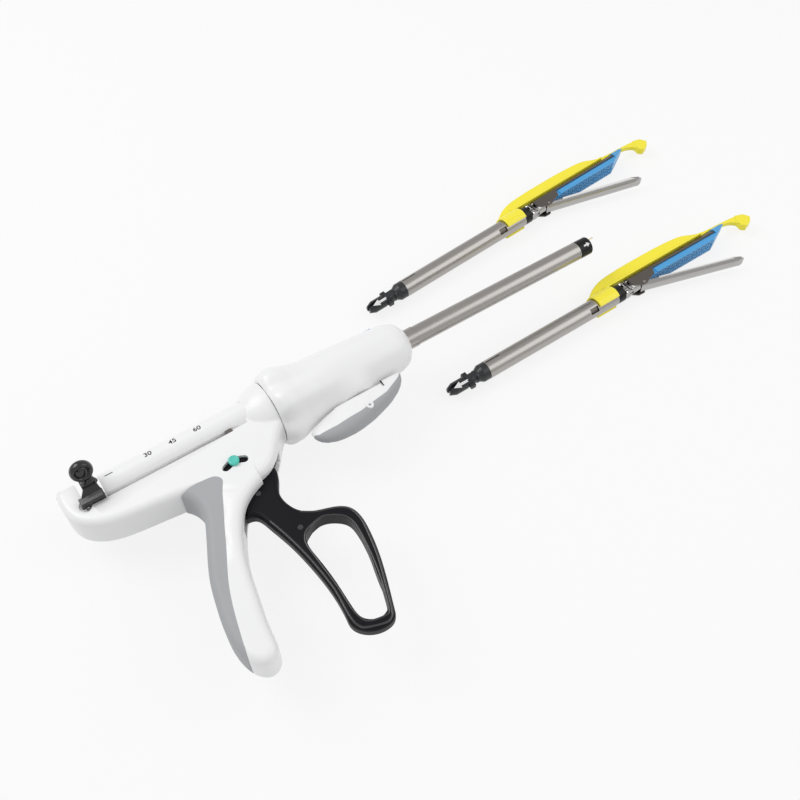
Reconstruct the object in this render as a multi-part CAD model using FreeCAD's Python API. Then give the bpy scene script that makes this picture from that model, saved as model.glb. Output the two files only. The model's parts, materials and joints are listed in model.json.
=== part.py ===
import FreeCAD, Part
import math
import os

from FreeCAD import Matrix, Rotation, Vector

# Endoscopic linear cutter stapler lying on its side, with two loose reloads beside it.
# Lengths are millimetres. X runs along the shaft towards its tip, Y towards the top of the handle,
# Z away from the table. The origin is on the shaft axis, where the 12 mm shaft leaves its root ferrule.

# General clearances
RUN = 0.05          # radial clearance of a pin or shaft in its hole
GAP = 0.3           # gap between faces that pass each other
SEAT = 0.02         # gap between a piece and the seat it is fixed in

# Shaft
SHAFT_R = 6.0
SHAFT_WALL = 0.6
FERRULE_WALL = 0.35
FERRULE_R = SHAFT_R + FERRULE_WALL
STEEL_END_X = 129.8
CAP_LENGTH = 9.8
NOSE_X = -7.2
TUBE_REAR_X = -30.0
SOCKET_R = 4.4
SOCKET_DEPTH = 12.0
ROD_R = 1.6

# Housing
WALL = 2.2
BODY_HALF = 12.0
BODY_ROUND = 4.5
GRIP_SWELL = 0.5
GRIP_HALF = BODY_HALF + GRIP_SWELL
GRIP_ROUND = 5.0
SHOULDER_Y = -6.6
JOINT_X = -101.2
BOSS_R = 19.0
RAIL_R = 8.0
RAIL_Y = 2.0
RAIL_Z = 6.5
RAIL_X0 = -202.9
RAIL_X1 = -112.0
SLOT_X0 = -217.5
SLOT_X1 = -127.5
SLOT_Y = -6.1
SLOT_HALF = 1.4
PAD_DEPTH = 1.6

# Trigger and safety slider
PIVOT_X = -136.7
PIVOT_Y = -36.2
PIVOT_PIN_R = 2.5
TRIGGER_HALF = 4.5
TRIGGER_ROUND = 2.6
PAWL_PIN_X = -135.0
PAWL_PIN_Y = -19.5
PAWL_PIN_R = 1.5
SLIDER_RADIUS = 10.7
SLIDER_WIDTH = 4.6
SLIDER_SWEEP = 31.0
BUTTON_SWEEP = 14.0

# Rack, retract plate and return knobs
RACK_X0 = -214.0
RACK_X1 = -112.0
RACK_HALF_Y = 3.2
RACK_HALF_Z = 1.8
TOOTH_PITCH = 3.0
TOOTH_DEPTH = 1.6
TOOTH_COUNT = 26
PLATE_LENGTH = 6.0
PLATE_THICK = 2.0
KNOB_LENGTH = 13.5
SADDLE_WALL = 2.4
RING_LEAN = 20.0
RING_R = 6.4
RING_REACH = 18.6
RING_THICK = 6.4

# Rotation knob
KNOB_NECK_R = 13.5
KNOB_LIP_R = 15.6
KNOB_WALL = 2.6
FRONT_WALL = 4.0
KNOB_BORE_R = 9.0
SCOOP_R = 10.0
SCOOP_AXIS_R = 30.5
SCOOP_COUNT = 6

# Articulation lever
LEVER_X = -52.4
TURRET_R = 15.4
TURRET_Y = -20.0
LEVER_HALF = 6.5
CRANK_OFFSET = 5.0
CRANK_PIN_R = 1.2
POST_R = 4.0
YOKE_Y = -12.6
YOKE_THICK = 1.2
STRIP_Y0 = -4.9
STRIP_THICK = 0.8
STRIP_HALF = 1.4

# Unload slider
UNLOAD_X = -23.5
UNLOAD_LENGTH = 8.0
UNLOAD_HALF = 4.0
UNLOAD_TRAVEL = 4.0

# Reloads, in their own frame: x from the tail to the tip, y towards the shipping wedge, z up
TABLE_DROP = -24.0
RELOAD_POSES = [(-0.8, 51.1, 4.8), (4.4, -32.9, 1.0)]
COUPLING_R = SOCKET_R - 0.2
COLLAR_X = 25.0
TUBE_X = 29.3
SADDLE_X = 120.6
NECK_X = 137.3
NECK_END_X = 143.5
SWIVEL_X = 147.6
BLOCK_END_X = 157.3
HINGE_X = 159.6
HINGE_Y = -4.6
HINGE_PIN_R = 0.9
CARTRIDGE_X = 163.4
CHANNEL_END_X = 232.0
TIP_LENGTH = 13.6
TIP_X = CHANNEL_END_X + TIP_LENGTH
ANVIL_SETBACK = 8.6
ANVIL_TIP_X = TIP_X - ANVIL_SETBACK
JAW_R = 5.8
JAW_HALF = 5.5
JAW_SHEET = 0.8
CHANNEL_EDGE_Y = 1.4
TISSUE_Y = -3.4
ANVIL_THICK = 3.0
JAW_OPEN = 16.3
KNIFE_SLOT_HALF = 0.5
STAPLE_LENGTH = 3.4
STAPLE_WIDTH = 0.7
STAPLE_PITCH = 4.6
STAPLE_ROWS = [1.5, 2.75, 4.0]
STAPLES_PER_ROW = 13
LINK_OFFSET = 2.4
LINK_PEG_R = 0.5
TANG_R = 1.6
SWIVEL_PIN_R = 0.9
EAR_R = 3.8
WEDGE_THICK = 3.6

X_AXIS = Vector(1, 0, 0)
Y_AXIS = Vector(0, 1, 0)
Z_AXIS = Vector(0, 0, 1)


def box(x0, x1, y0, y1, z0, z1):
    """A box between two corners."""
    return Part.makeBox(x1 - x0, y1 - y0, z1 - z0, Vector(x0, y0, z0))


def rod(radius, start, end):
    """A round bar between two points."""
    start = Vector(*start)
    along = Vector(*end) - start
    return Part.makeCylinder(radius, along.Length, start, along)


def points(pairs, z=0.0):
    """Plan points lifted to one height."""
    return [Vector(x, y, z) for x, y in pairs]


def smooth(pairs):
    """A smooth curve through plan points."""
    curve = Part.BSplineCurve()
    curve.interpolate(points(pairs))
    return curve.toShape()


def inset_smooth(pairs, inset, count=90):
    """A smooth curve through plan points, moved to its left by an inset."""
    curve = Part.BSplineCurve()
    curve.interpolate(points(pairs))
    moved = []
    for i in range(count + 1):
        at = curve.FirstParameter + (curve.LastParameter - curve.FirstParameter) * i / count
        along = curve.tangent(at)[0]
        place = curve.value(at) + Vector(-along.y, along.x, 0) * inset
        moved.append((place.x, place.y))
    return moved


def closed_smooth(pairs):
    """A smooth closed curve through plan points."""
    curve = Part.BSplineCurve()
    curve.interpolate(Points=points(pairs), PeriodicFlag=True)
    return curve.toShape()


def straight(*pairs):
    """Straight edges through plan points."""
    ends = points(pairs)
    return [Part.makeLine(a, b) for a, b in zip(ends, ends[1:])]


def face_of(edges):
    """The plane face inside a closed chain of edges."""
    return Part.Face(Part.Wire(Part.__sortEdges__(edges)))


def polygon(pairs):
    """The plane face of a closed polygon."""
    return face_of(straight(*pairs, pairs[0]))


def slab(face, z0, z1):
    """A face in the plan extruded between two heights."""
    lifted = face.copy()
    lifted.translate(Vector(0, 0, z0))
    return lifted.extrude(Vector(0, 0, z1 - z0))


def level_edges(shape, *levels):
    """The edges of a shape that lie flat at the given heights."""
    found = []
    for edge in shape.Edges:
        low, high = edge.BoundBox.ZMin, edge.BoundBox.ZMax
        if any(abs(low - z) < 0.01 and abs(high - z) < 0.01 for z in levels):
            found.append(edge)
    return found


def rounded_slab(face, half, radius):
    """A face extruded both ways from the mid-plane, with its long rims rounded."""
    body = slab(face, -half, half)
    rims = [edge for edge in level_edges(body, -half, half) if edge.Length > 150]
    return body.makeFillet(radius, rims)


def turned(profile):
    """A solid of revolution about the X axis, from edges in the upper half of the plan."""
    return face_of(profile).revolve(Vector(), X_AXIS, 360)


def turned_profile(curve_pairs, smooth_curve=True):
    """Closed profile edges between a curve and the X axis."""
    first, last = curve_pairs[0], curve_pairs[-1]
    top = [smooth(curve_pairs)] if smooth_curve else straight(*curve_pairs)
    return top + straight(last, (last[0], 0.0), (first[0], 0.0), first)


def near_half(shape):
    """The half of a shape above the mid-plane."""
    return shape.common(box(-400, 400, -300, 300, 0, 200))


def far_half(shape):
    """The half of a shape below the mid-plane."""
    return shape.common(box(-400, 400, -300, 300, -200, 0))


def mirrored(shape):
    """The same shape on the other side of the mid-plane."""
    return shape.mirror(Vector(), Z_AXIS)


def single(shape):
    """The one solid of a boolean result."""
    solids = shape.Solids
    return max(solids, key=lambda solid: solid.Volume) if solids else shape


def save(name, shape):
    """Writes one node."""
    if not shape.isValid() or shape.Volume <= 0:
        print("invalid", name)
    shape.exportStep("parts/" + name + ".step")
    print(name, len(shape.Solids), round(shape.Volume, 1))


# Outlines of the handle

def body_outline(inset=0.0):
    """Side outline of the upper housing, run on past its trimmed ends."""
    low = [(-229.5, 22.0), (-230.2, 10.0), (-230.3, -1.5), (-227.6, -10.0), (-219.5, -17.5), (-204.3, -22.8),
           (-189.7, -25.0), (-176.0, -26.6), (-160.0, -30.0), (-148.0, -36.0), (-136.0, -40.5),
           (-124.1, -39.5), (-113.5, -31.4), (-105.5, -21.2), (-98.0, -14.5), (-85.0, -12.0)]
    if inset:
        low = inset_smooth(low, inset)
    return face_of([smooth(low)] + straight(low[-1], (-85.0, 22.0), low[0]))


def grip_outline(inset=0.0):
    """Side outline of the grip, run on up inside the housing."""
    edge = [(-170.5, -28.0), (-166.6, -34.0), (-165.3, -41.0), (-168.5, -52.5), (-174.3, -65.4),
            (-180.1, -79.6), (-183.8, -94.0), (-186.4, -109.8), (-185.6, -122.0), (-182.0, -130.5),
            (-175.8, -134.6), (-169.6, -132.0), (-167.2, -124.0), (-166.0, -114.8), (-163.1, -100.6),
            (-159.4, -83.5), (-154.6, -69.3), (-150.0, -60.0), (-144.8, -52.4), (-137.0, -46.4),
            (-129.0, -43.0)]
    if inset:
        edge = inset_smooth(edge, inset)
    return face_of([smooth(edge)] + straight(edge[-1], (-129.0, -33.0), (-150.0, -26.0), edge[0]))


def trim_ends(body, inset=0.0):
    """Cuts the upper housing to its deck, its rear upstand and its front face."""
    deck = box(-217.0 - inset, -118.0, SHOULDER_Y - inset, 60, -40, 40)
    upstand = box(-260, -60, 9.4 - inset, 60, -40, 40)
    front = box(JOINT_X - GAP - (FRONT_WALL if inset else 0.0), 0, -90, 60, -40, 40)
    brow = box(-119, -60, 6.0 - inset, 60, -40, 40)
    return body.cut(deck.fuse([upstand, front, brow]))


def pad_outline():
    """Side outline of the soft pad on the back of the grip, open towards the rear edge."""
    edge = smooth([(-178.3, -34.5), (-176.4, -31.2), (-171.4, -28.2), (-163.6, -26.6), (-156.0, -27.2),
                   (-149.2, -28.9), (-147.4, -32.0), (-149.0, -35.9), (-153.1, -44.2), (-160.2, -59.6),
                   (-165.7, -72.0), (-172.1, -85.9), (-176.9, -99.9), (-181.0, -116.5), (-184.6, -132.7)])
    return face_of([edge] + straight((-184.6, -132.7), (-200.0, -132.7), (-200.0, -34.5), (-178.3, -34.5)))


def trigger_outline():
    """Side outline of the trigger with its arm inside the housing."""
    front = smooth([(-118.3, -34.6), (-119.8, -43.0), (-124.0, -51.5), (-123.5, -60.0), (-119.8, -67.1),
                    (-112.6, -71.8), (-102.9, -75.5), (-96.6, -80.3), (-94.3, -88.3), (-94.9, -96.7),
                    (-98.6, -113.7), (-104.2, -130.5), (-109.0, -143.4)])
    toe = smooth([(-109.0, -143.4), (-112.0, -147.2), (-116.9, -148.2), (-126.9, -144.7), (-130.6, -140.6),
                  (-131.6, -133.5)])
    rear = smooth([(-131.6, -133.5), (-130.4, -116.4), (-131.9, -96.7), (-134.8, -79.8), (-139.0, -64.1),
                   (-141.8, -57.6), (-146.6, -56.0)])
    arm = straight((-146.6, -56.0), (-144.5, -40.0), (-142.5, -28.0), (-139.0, -17.0), (-135.0, -15.6),
                   (-131.2, -17.0), (-127.6, -29.0), (-118.3, -34.6))
    return face_of([front, toe, rear] + arm)


def trigger_loop():
    """Outline of the opening for the fingers."""
    loop = closed_smooth([(-121.2, -79.8), (-112.6, -78.4), (-105.6, -81.9), (-101.7, -86.3), (-100.6, -93.8),
                          (-102.9, -110.7), (-107.0, -127.5), (-111.9, -141.0), (-115.0, -142.6),
                          (-122.0, -141.0),
                          (-125.0, -138.0), (-126.3, -130.5), (-126.0, -116.4), (-126.9, -96.7),
                          (-127.0, -87.0), (-125.0, -82.3)])
    return face_of([loop])


def ring_sector(radius, width, sweep, middle, z0, z1):
    """A round-ended arc slot about the trigger's pivot."""
    half = math.radians(sweep / 2.0)
    centre = math.radians(middle)
    inner, outer = radius - width / 2.0, radius + width / 2.0

    def at(r, angle):
        return Vector(PIVOT_X + r * math.cos(angle), PIVOT_Y + r * math.sin(angle), 0)

    def end(sign):
        angle = centre + sign * half
        beyond = angle + sign * width / 2.0 / radius
        return Part.Arc(at(inner, angle), at(radius, beyond), at(outer, angle)).toShape()

    arcs = [Part.Arc(at(r, centre - half), at(r, centre), at(r, centre + half)).toShape()
            for r in (inner, outer)]
    return slab(face_of(arcs + [end(-1), end(1)]), z0, z1)


# Housing shells

def handle_outer():
    """The whole outer form of the housing, both halves together."""
    body = trim_ends(rounded_slab(body_outline(), BODY_HALF, BODY_ROUND))
    grip = rounded_slab(grip_outline(), GRIP_HALF, GRIP_ROUND)
    rails = [rod(RAIL_R, (RAIL_X0, RAIL_Y, z), (RAIL_X1, RAIL_Y, z)) for z in (-RAIL_Z, RAIL_Z)]
    bridge = box(RAIL_X0, RAIL_X1, RAIL_Y - RAIL_R, RAIL_Y + RAIL_R, -RAIL_Z, RAIL_Z)
    boss = turned(turned_profile([(-128.0, 6.0), (-119.0, 12.0), (-111.0, 16.8), (-104.5, 18.7),
                                  (JOINT_X - GAP, BOSS_R)]))
    return body.fuse([grip, bridge, boss] + rails).removeSplitter()


def handle_inner():
    """The hollow inside the housing."""
    reach = BODY_HALF - WALL
    body = trim_ends(slab(body_outline(WALL), -reach, reach), WALL)
    grip = slab(grip_outline(WALL), -reach, reach)
    inner = RAIL_R - WALL
    rails = [rod(inner, (RAIL_X0 + WALL, RAIL_Y, z), (RAIL_X1, RAIL_Y, z)) for z in (-RAIL_Z, RAIL_Z)]
    bridge = box(RAIL_X0 + WALL, RAIL_X1, SHOULDER_Y - WALL - 1.0, RAIL_Y + inner, -RAIL_Z, RAIL_Z)
    boss = turned(turned_profile([(-128.0, 4.0), (-119.0, 9.6), (-112.0, 14.2),
                                  (JOINT_X - GAP - FRONT_WALL, 16.4)]))
    return body.fuse([grip, bridge, boss] + rails)


def housing_cuts():
    """Everything that is open through the housing's walls."""
    slot = box(SLOT_X0, SLOT_X1, SLOT_Y - SLOT_HALF, SLOT_Y + SLOT_HALF, -40, 40)
    neck = rod(KNOB_NECK_R + RUN, (JOINT_X - GAP - FRONT_WALL - 3, 0, 0), (JOINT_X + 1, 0, 0))
    mouth = slab(polygon([(-154.5, -60.0), (-156.0, -50.0), (-149.0, -34.0), (-113.0, -28.0), (-106.0, -36.0),
                          (-122.0, -60.0), (-140.0, -70.0)]), -TRIGGER_HALF - 0.7, TRIGGER_HALF + 0.7)
    window = ring_sector(SLIDER_RADIUS, SLIDER_WIDTH, SLIDER_SWEEP, 90.0, 5, 20)
    rack_door = box(RAIL_X0 - 1, RAIL_X0 + WALL + 1, SLOT_Y, RACK_HALF_Y + GAP, -RACK_HALF_Z - GAP,
                    RACK_HALF_Z + GAP)
    return slot.fuse([neck, mouth, window, rack_door])


def inner_supports():
    """Pin bosses and rack guides on the inside of the near shell."""
    top = BODY_HALF - WALL + 0.5
    pivot = rod(5.2, (PIVOT_X, PIVOT_Y, TRIGGER_HALF + GAP), (PIVOT_X, PIVOT_Y, top))
    guides = [box(x - 1.2, x + 1.2, -2.8, RAIL_Y + 5.0, RACK_HALF_Z + RUN, RAIL_Z + 6.5)
              for x in (-186.0, -160.0, -132.0)]
    screw_posts = [rod(2.4, (x, y, 0), (x, y, top)) for x, y in ((-205.0, -15.0), (-116.0, -25.0))]
    grip_post = rod(2.4, (-176.0, -118.0, 0), (-176.0, -118.0, top))
    return Part.makeCompound([pivot, grip_post] + guides + screw_posts)


def make_housing():
    """Two housing shells and the two soft grip pads let into them."""
    outer = handle_outer()
    inner = handle_inner()
    skin_depth = BODY_HALF - PAD_DEPTH
    core = slab(body_outline(PAD_DEPTH), -skin_depth, skin_depth)
    core = core.fuse(slab(grip_outline(PAD_DEPTH), -skin_depth, skin_depth))
    pad_zone = slab(pad_outline(), -30, 30)
    pads = outer.common(pad_zone).cut(core)
    shell = outer.cut(pads).cut(inner)
    near = shell.common(box(-400, 400, -300, 300, 0, 200))
    supports = inner_supports().common(outer)
    near = near.fuse(supports.Solids)
    far = far_half(shell).fuse([mirrored(s) for s in supports.Solids])
    cuts = housing_cuts()
    pin_hole = rod(PIVOT_PIN_R + SEAT, (PIVOT_X, PIVOT_Y, 0), (PIVOT_X, PIVOT_Y, BODY_HALF - 1.0))
    far_pin_hole = mirrored(pin_hole)
    near = single(near.cut(cuts).cut(pin_hole))
    far_cuts = cuts.common(box(-400, 400, -300, 300, -60, 4.9))
    far = single(far.cut(far_cuts).cut(far_pin_hole))
    save("housing_near", near)
    save("housing_far", far)
    save("grip_pad_near", single(near_half(pads)))
    save("grip_pad_far", single(far_half(pads)))


# Trigger group

def make_trigger():
    """Trigger with its pin, return spring, and the pawl that drives the rack."""
    blank = slab(trigger_outline(), -TRIGGER_HALF, TRIGGER_HALF)
    blank = blank.makeFillet(TRIGGER_ROUND, level_edges(blank, -TRIGGER_HALF, TRIGGER_HALF))
    loop = slab(trigger_loop(), -TRIGGER_HALF, TRIGGER_HALF)
    opened = blank.cut(loop)
    pin_hole = rod(PIVOT_PIN_R + RUN, (PIVOT_X, PIVOT_Y, -10), (PIVOT_X, PIVOT_Y, 10))
    fork = box(-150, -120, -27.5, -10, -2.1, 2.1)
    pawl_hole = rod(PAWL_PIN_R + SEAT, (PAWL_PIN_X, PAWL_PIN_Y, -10), (PAWL_PIN_X, PAWL_PIN_Y, 10))
    spring_seat = rod(5.4, (PIVOT_X, PIVOT_Y, -10), (PIVOT_X, PIVOT_Y, -1.2))
    leg_way = box(PIVOT_X - 2.2, PIVOT_X + 5.0, PIVOT_Y, PIVOT_Y + 15.4, -10, -3.2)
    save("trigger", single(opened.cut(pin_hole.fuse([fork, pawl_hole, spring_seat, leg_way]))))
    reach = BODY_HALF - 1.2
    save("trigger_pin", rod(PIVOT_PIN_R, (PIVOT_X, PIVOT_Y, -reach), (PIVOT_X, PIVOT_Y, reach)))
    coil = [Part.makeTorus(3.6, 0.5, Vector(PIVOT_X, PIVOT_Y, z)) for z in (-1.9, -2.9, -3.9)]
    foot = (PIVOT_X + 3.6, PIVOT_Y + 14.0, -3.9)
    leg = rod(0.5, (PIVOT_X + 3.6, PIVOT_Y, -3.9), foot)
    toe = rod(0.5, foot, (PIVOT_X + 3.6, PIVOT_Y + 14.0, -BODY_HALF + WALL + 0.1))
    save("trigger_spring", coil[0].fuse(coil[1:] + [leg, toe]))
    pawl = slab(polygon([(-138.6, -18.0), (-138.0, -22.4), (-132.0, -22.4), (-122.0, -9.4), (-121.2, -4.6),
                         (-124.6, -6.4), (-127.0, -8.0), (-134.0, -15.4)]), -1.7, 1.7)
    pawl = pawl.cut(rod(PAWL_PIN_R + RUN, (PAWL_PIN_X, PAWL_PIN_Y, -5), (PAWL_PIN_X, PAWL_PIN_Y, 5)))
    save("drive_pawl", single(pawl))
    save("pawl_pin", rod(PAWL_PIN_R, (PAWL_PIN_X, PAWL_PIN_Y, -4.3), (PAWL_PIN_X, PAWL_PIN_Y, 4.3)))


def make_safety():
    """Safety slider in the arc slot and the dark plate behind the slot."""
    inside = BODY_HALF - WALL
    plate = ring_sector(SLIDER_RADIUS, SLIDER_WIDTH + 4.0, SLIDER_SWEEP + 16.0, 90.0, inside - 1.4, inside)
    well = ring_sector(SLIDER_RADIUS, SLIDER_WIDTH - 1.6, SLIDER_SWEEP - 4.0, 90.0, inside - 3, inside + 3)
    save("safety_plate", single(plate.cut(well)))
    width = SLIDER_WIDTH - 2 * GAP
    button = ring_sector(SLIDER_RADIUS, width, BUTTON_SWEEP, 90.0, inside + 0.2, BODY_HALF + 1.4)
    foot = ring_sector(SLIDER_RADIUS, width - 2.2, BUTTON_SWEEP - 8.0, 90.0, inside - 2.4, inside + 1)
    rim = level_edges(button, BODY_HALF + 1.4)
    save("safety_slider", single(button.makeFillet(0.8, rim).fuse(foot)))


# Rack and return knobs

def make_rack():
    """Toothed rack, firing rod, and the plate that joins the rack to the return knobs."""
    bar = box(RACK_X0, RACK_X1, -RACK_HALF_Y + TOOTH_DEPTH, RACK_HALF_Y, -RACK_HALF_Z, RACK_HALF_Z)
    root = -RACK_HALF_Y + TOOTH_DEPTH
    first = RACK_X1 - 8.0 - TOOTH_PITCH * TOOTH_COUNT
    teeth = [slab(polygon([(first + i * TOOTH_PITCH, root), (first + (i + 1) * TOOTH_PITCH, root),
                           (first + (i + 0.35) * TOOTH_PITCH, -RACK_HALF_Y),
                           (first + i * TOOTH_PITCH, -RACK_HALF_Y)]), -RACK_HALF_Z, RACK_HALF_Z)
             for i in range(TOOTH_COUNT)]
    plate_top = SLOT_Y + PLATE_THICK / 2.0
    heel = box(RACK_X0, RACK_X0 + 9.0, plate_top, root, -RACK_HALF_Z, RACK_HALF_Z)
    save("firing_rack", single(bar.fuse(teeth + [heel]).removeSplitter()))
    save("firing_rod", rod(ROD_R, (RACK_X1, 0, 0), (STEEL_END_X + CAP_LENGTH - SOCKET_DEPTH - 1.5, 0, 0)))
    x0 = RACK_X0 + 0.5
    reach = BODY_HALF + 0.8
    plate = box(x0, x0 + PLATE_LENGTH, plate_top - PLATE_THICK, plate_top, -reach, reach)
    save("retract_plate", plate)
    return reach


def knob_ring():
    """The teardrop ring of a return knob, standing on its saddle."""
    half = KNOB_LENGTH / 2.0
    neck = 3.6
    base = RAIL_R + 1.2
    top = RING_REACH + RING_R
    drop = smooth([(-half + 0.6, base), (-neck, base + 4.2), (-RING_R * 0.93, RING_REACH - 1.8),
                   (-RING_R * 0.8, RING_REACH + RING_R * 0.62), (0.0, top),
                   (RING_R * 0.8, RING_REACH + RING_R * 0.62), (RING_R * 0.93, RING_REACH - 1.8),
                   (neck, base + 4.2), (half - 0.6, base)])
    blank = slab(face_of([drop] + straight((half - 0.6, base), (-half + 0.6, base))),
                 -RING_THICK / 2.0, RING_THICK / 2.0)
    rims = [edge for edge in level_edges(blank, -RING_THICK / 2.0, RING_THICK / 2.0) if edge.Length > 20]
    blank = blank.makeFillet(1.6, rims)
    dish = Part.makeSphere(5.4, Vector(0, RING_REACH, RING_THICK / 2.0 + 2.2))
    back_dish = Part.makeSphere(5.4, Vector(0, RING_REACH, -RING_THICK / 2.0 - 2.2))
    eye = rod(1.7, (0, RING_REACH - 0.8, -9), (0, RING_REACH - 0.8, 9))
    return blank.cut(dish.fuse([back_dish, eye]))


def make_return_knobs(plate_reach):
    """The knob on each side: a saddle over the rail, carried by the retract plate, and its ring."""
    middle = RACK_X0 + 0.5 + PLATE_LENGTH / 2.0
    x0 = middle - KNOB_LENGTH / 2.0
    x1 = x0 + KNOB_LENGTH
    inner = RAIL_R + GAP + 0.1
    sleeve = rod(inner + SADDLE_WALL, (x0, RAIL_Y, RAIL_Z), (x1, RAIL_Y, RAIL_Z))
    sleeve = sleeve.cut(rod(inner, (x0 - 1, RAIL_Y, RAIL_Z), (x1 + 1, RAIL_Y, RAIL_Z)))
    shoulder = BODY_HALF + GAP
    keep = box(x0, x1, SLOT_Y + SLOT_HALF + GAP, RAIL_Y + 6.2, RAIL_Z + 4.2, 40)
    saddle = sleeve.common(keep)
    foot = box(middle - PLATE_LENGTH / 2.0, middle + PLATE_LENGTH / 2.0, SLOT_Y - PLATE_THICK / 2.0,
               SLOT_Y + PLATE_THICK / 2.0, plate_reach, RAIL_Z + inner + 0.6)
    skirt = box(x0, x1, SLOT_Y - 1.6, SLOT_Y + 3.0, shoulder + 0.5, RAIL_Z + inner + 0.4)
    skirt = skirt.cut(rod(inner, (x0 - 1, RAIL_Y, RAIL_Z), (x1 + 1, RAIL_Y, RAIL_Z)))
    ring = knob_ring()
    ring.rotate(Vector(), X_AXIS, 90 - RING_LEAN)
    ring.translate(Vector(middle, RAIL_Y, RAIL_Z))
    ring = ring.cut(rod(inner, (x0 - 9, RAIL_Y, RAIL_Z), (x1 + 9, RAIL_Y, RAIL_Z)))
    knob = single(saddle.fuse([foot, skirt, ring]))
    save("return_knob_near", knob)
    save("return_knob_far", mirrored(knob))


# Rotation knob, shaft and articulation

def knob_curve(inset=0.0):
    """Radius of the rotation knob along the shaft, less an inset."""
    stations = [(JOINT_X, 20.6), (-98.5, 23.6), (-94.6, 25.0), (-90.6, 24.4), (-84.0, 21.4), (-74.0, 19.2),
                (-60.0, 18.3), (-40.0, 17.2), (-24.0, 16.2), (-15.0, 14.4), (-9.5, 11.6), (NOSE_X, 9.0)]
    return [(x, r - inset) for x, r in stations]


def make_rotation_knob():
    """Two halves of the rotation knob with its neck in the housing and its turret for the lever."""
    body = turned(turned_profile(knob_curve()))
    scoops = []
    for i in range(SCOOP_COUNT):
        angle = math.radians(30 + i * 360.0 / SCOOP_COUNT)
        y, z = SCOOP_AXIS_R * math.cos(angle), SCOOP_AXIS_R * math.sin(angle)
        scoops.append(rod(SCOOP_R, (JOINT_X - 2, y, z), (-70, y * 1.12, z * 1.12)))
    body = body.cut(scoops[0].fuse(scoops[1:]))
    turret = rod(TURRET_R, (LEVER_X, -10, 0), (LEVER_X, TURRET_Y, 0))
    neck = rod(KNOB_NECK_R, (JOINT_X - GAP - FRONT_WALL - 3, 0, 0), (JOINT_X + 2, 0, 0))
    lip = rod(KNOB_LIP_R, (JOINT_X - GAP - FRONT_WALL - 3, 0, 0), (JOINT_X - GAP - FRONT_WALL - GAP, 0, 0))
    body = body.fuse([turret, neck, lip])
    hollow = turned(turned_profile([(JOINT_X + 4, 10.0), (-96.0, 15.0), (-90.0, 17.4), (-80.0, 17.0),
                                    (-60.0, 15.4), (-44.0, 14.4), (-34.0, 13.2), (-32.0, 11.0)]))
    bore = rod(KNOB_BORE_R, (-112, 0, 0), (-40, 0, 0))
    seat = rod(FERRULE_R + SEAT, (-40, 0, 0), (5, 0, 0))
    groove = rod(9.0 + SEAT, (-24.0 - SEAT, 0, 0), (-21.5 + SEAT, 0, 0))
    turret_hollow = rod(TURRET_R - 2.4, (LEVER_X, -8, 0), (LEVER_X, TURRET_Y + 4.6, 0))
    post_hole = rod(POST_R + RUN, (LEVER_X, -30, 0), (LEVER_X, 0, 0))
    tunnel = box(UNLOAD_X - 12, UNLOAD_X + 6, 8.6, 13.2, -2.6, 2.6)
    window = box(UNLOAD_X - UNLOAD_LENGTH / 2 - UNLOAD_TRAVEL - GAP, UNLOAD_X + UNLOAD_LENGTH / 2 + GAP,
                 8.6, 30, -UNLOAD_HALF - GAP, UNLOAD_HALF + GAP)
    empty = hollow.fuse([bore, seat, groove, turret_hollow, post_hole, window, tunnel])
    body = body.cut(empty)
    save("rotation_knob_near", single(near_half(body)))
    save("rotation_knob_far", single(far_half(body)))


def make_shaft():
    """Shaft tube with its root ferrule, the collar that holds it, the tip cap and its contacts."""
    outer = rod(SHAFT_R, (TUBE_REAR_X, 0, 0), (STEEL_END_X, 0, 0))
    ferrule = rod(FERRULE_R, (TUBE_REAR_X, 0, 0), (0, 0, 0))
    inner = rod(SHAFT_R - SHAFT_WALL, (TUBE_REAR_X - 1, 0, 0), (STEEL_END_X + 1, 0, 0))
    groove = box(0.4, STEEL_END_X - 1, -0.35, 0.35, SHAFT_R - 0.25, SHAFT_R + 1)
    groove.rotate(Vector(), X_AXIS, 66)
    save("shaft_tube", single(outer.fuse(ferrule).cut(inner).cut(groove).removeSplitter()))
    ring = rod(9.0, (-24, 0, 0), (-21.5, 0, 0)).cut(rod(FERRULE_R + SEAT, (-25, 0, 0), (-20, 0, 0)))
    save("tube_collar", ring)
    end_x = STEEL_END_X + CAP_LENGTH
    cap = rod(SHAFT_R, (STEEL_END_X, 0, 0), (end_x, 0, 0))
    cap = cap.makeFillet(0.8, [e for e in cap.Edges if abs(e.BoundBox.XMin - end_x) < 1e-4])
    spigot = rod(SHAFT_R - SHAFT_WALL - SEAT, (STEEL_END_X - 8, 0, 0), (STEEL_END_X, 0, 0))
    cap = cap.fuse(spigot)
    cap = cap.cut(rod(SOCKET_R, (end_x - SOCKET_DEPTH, 0, 0), (end_x + 1, 0, 0)))
    cap = cap.cut(rod(ROD_R + RUN, (STEEL_END_X - 9, 0, 0), (end_x, 0, 0)))
    keyway = box(STEEL_END_X - 9, end_x - SOCKET_DEPTH + 1, STRIP_Y0 - 1, STRIP_Y0 + STRIP_THICK + 0.2,
                 -STRIP_HALF - 0.2, STRIP_HALF + 0.2)
    lugs = [box(end_x - 7, end_x + 1, -5.4 * s - 0.01, 5.4 * s, -1.6, 1.6) if s > 0 else
            box(end_x - 7, end_x + 1, 5.4 * s, 0, -1.6, 1.6) for s in (1, -1)]
    contact_y = SHAFT_R - 0.8
    contacts = [rod(0.35, (end_x - 5, 0, z), (end_x + 3.4, 0, z)) for z in (contact_y, -contact_y)]
    cap = cap.cut(keyway.fuse([lugs[0], lugs[1]]))
    sockets = [rod(0.35 + SEAT, (end_x - 5, 0, z), (end_x + 1, 0, z)) for z in (contact_y, -contact_y)]
    save("tip_cap", single(cap.cut(sockets[0].fuse(sockets[1]))))
    save("tip_contacts", Part.makeCompound(contacts))


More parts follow.
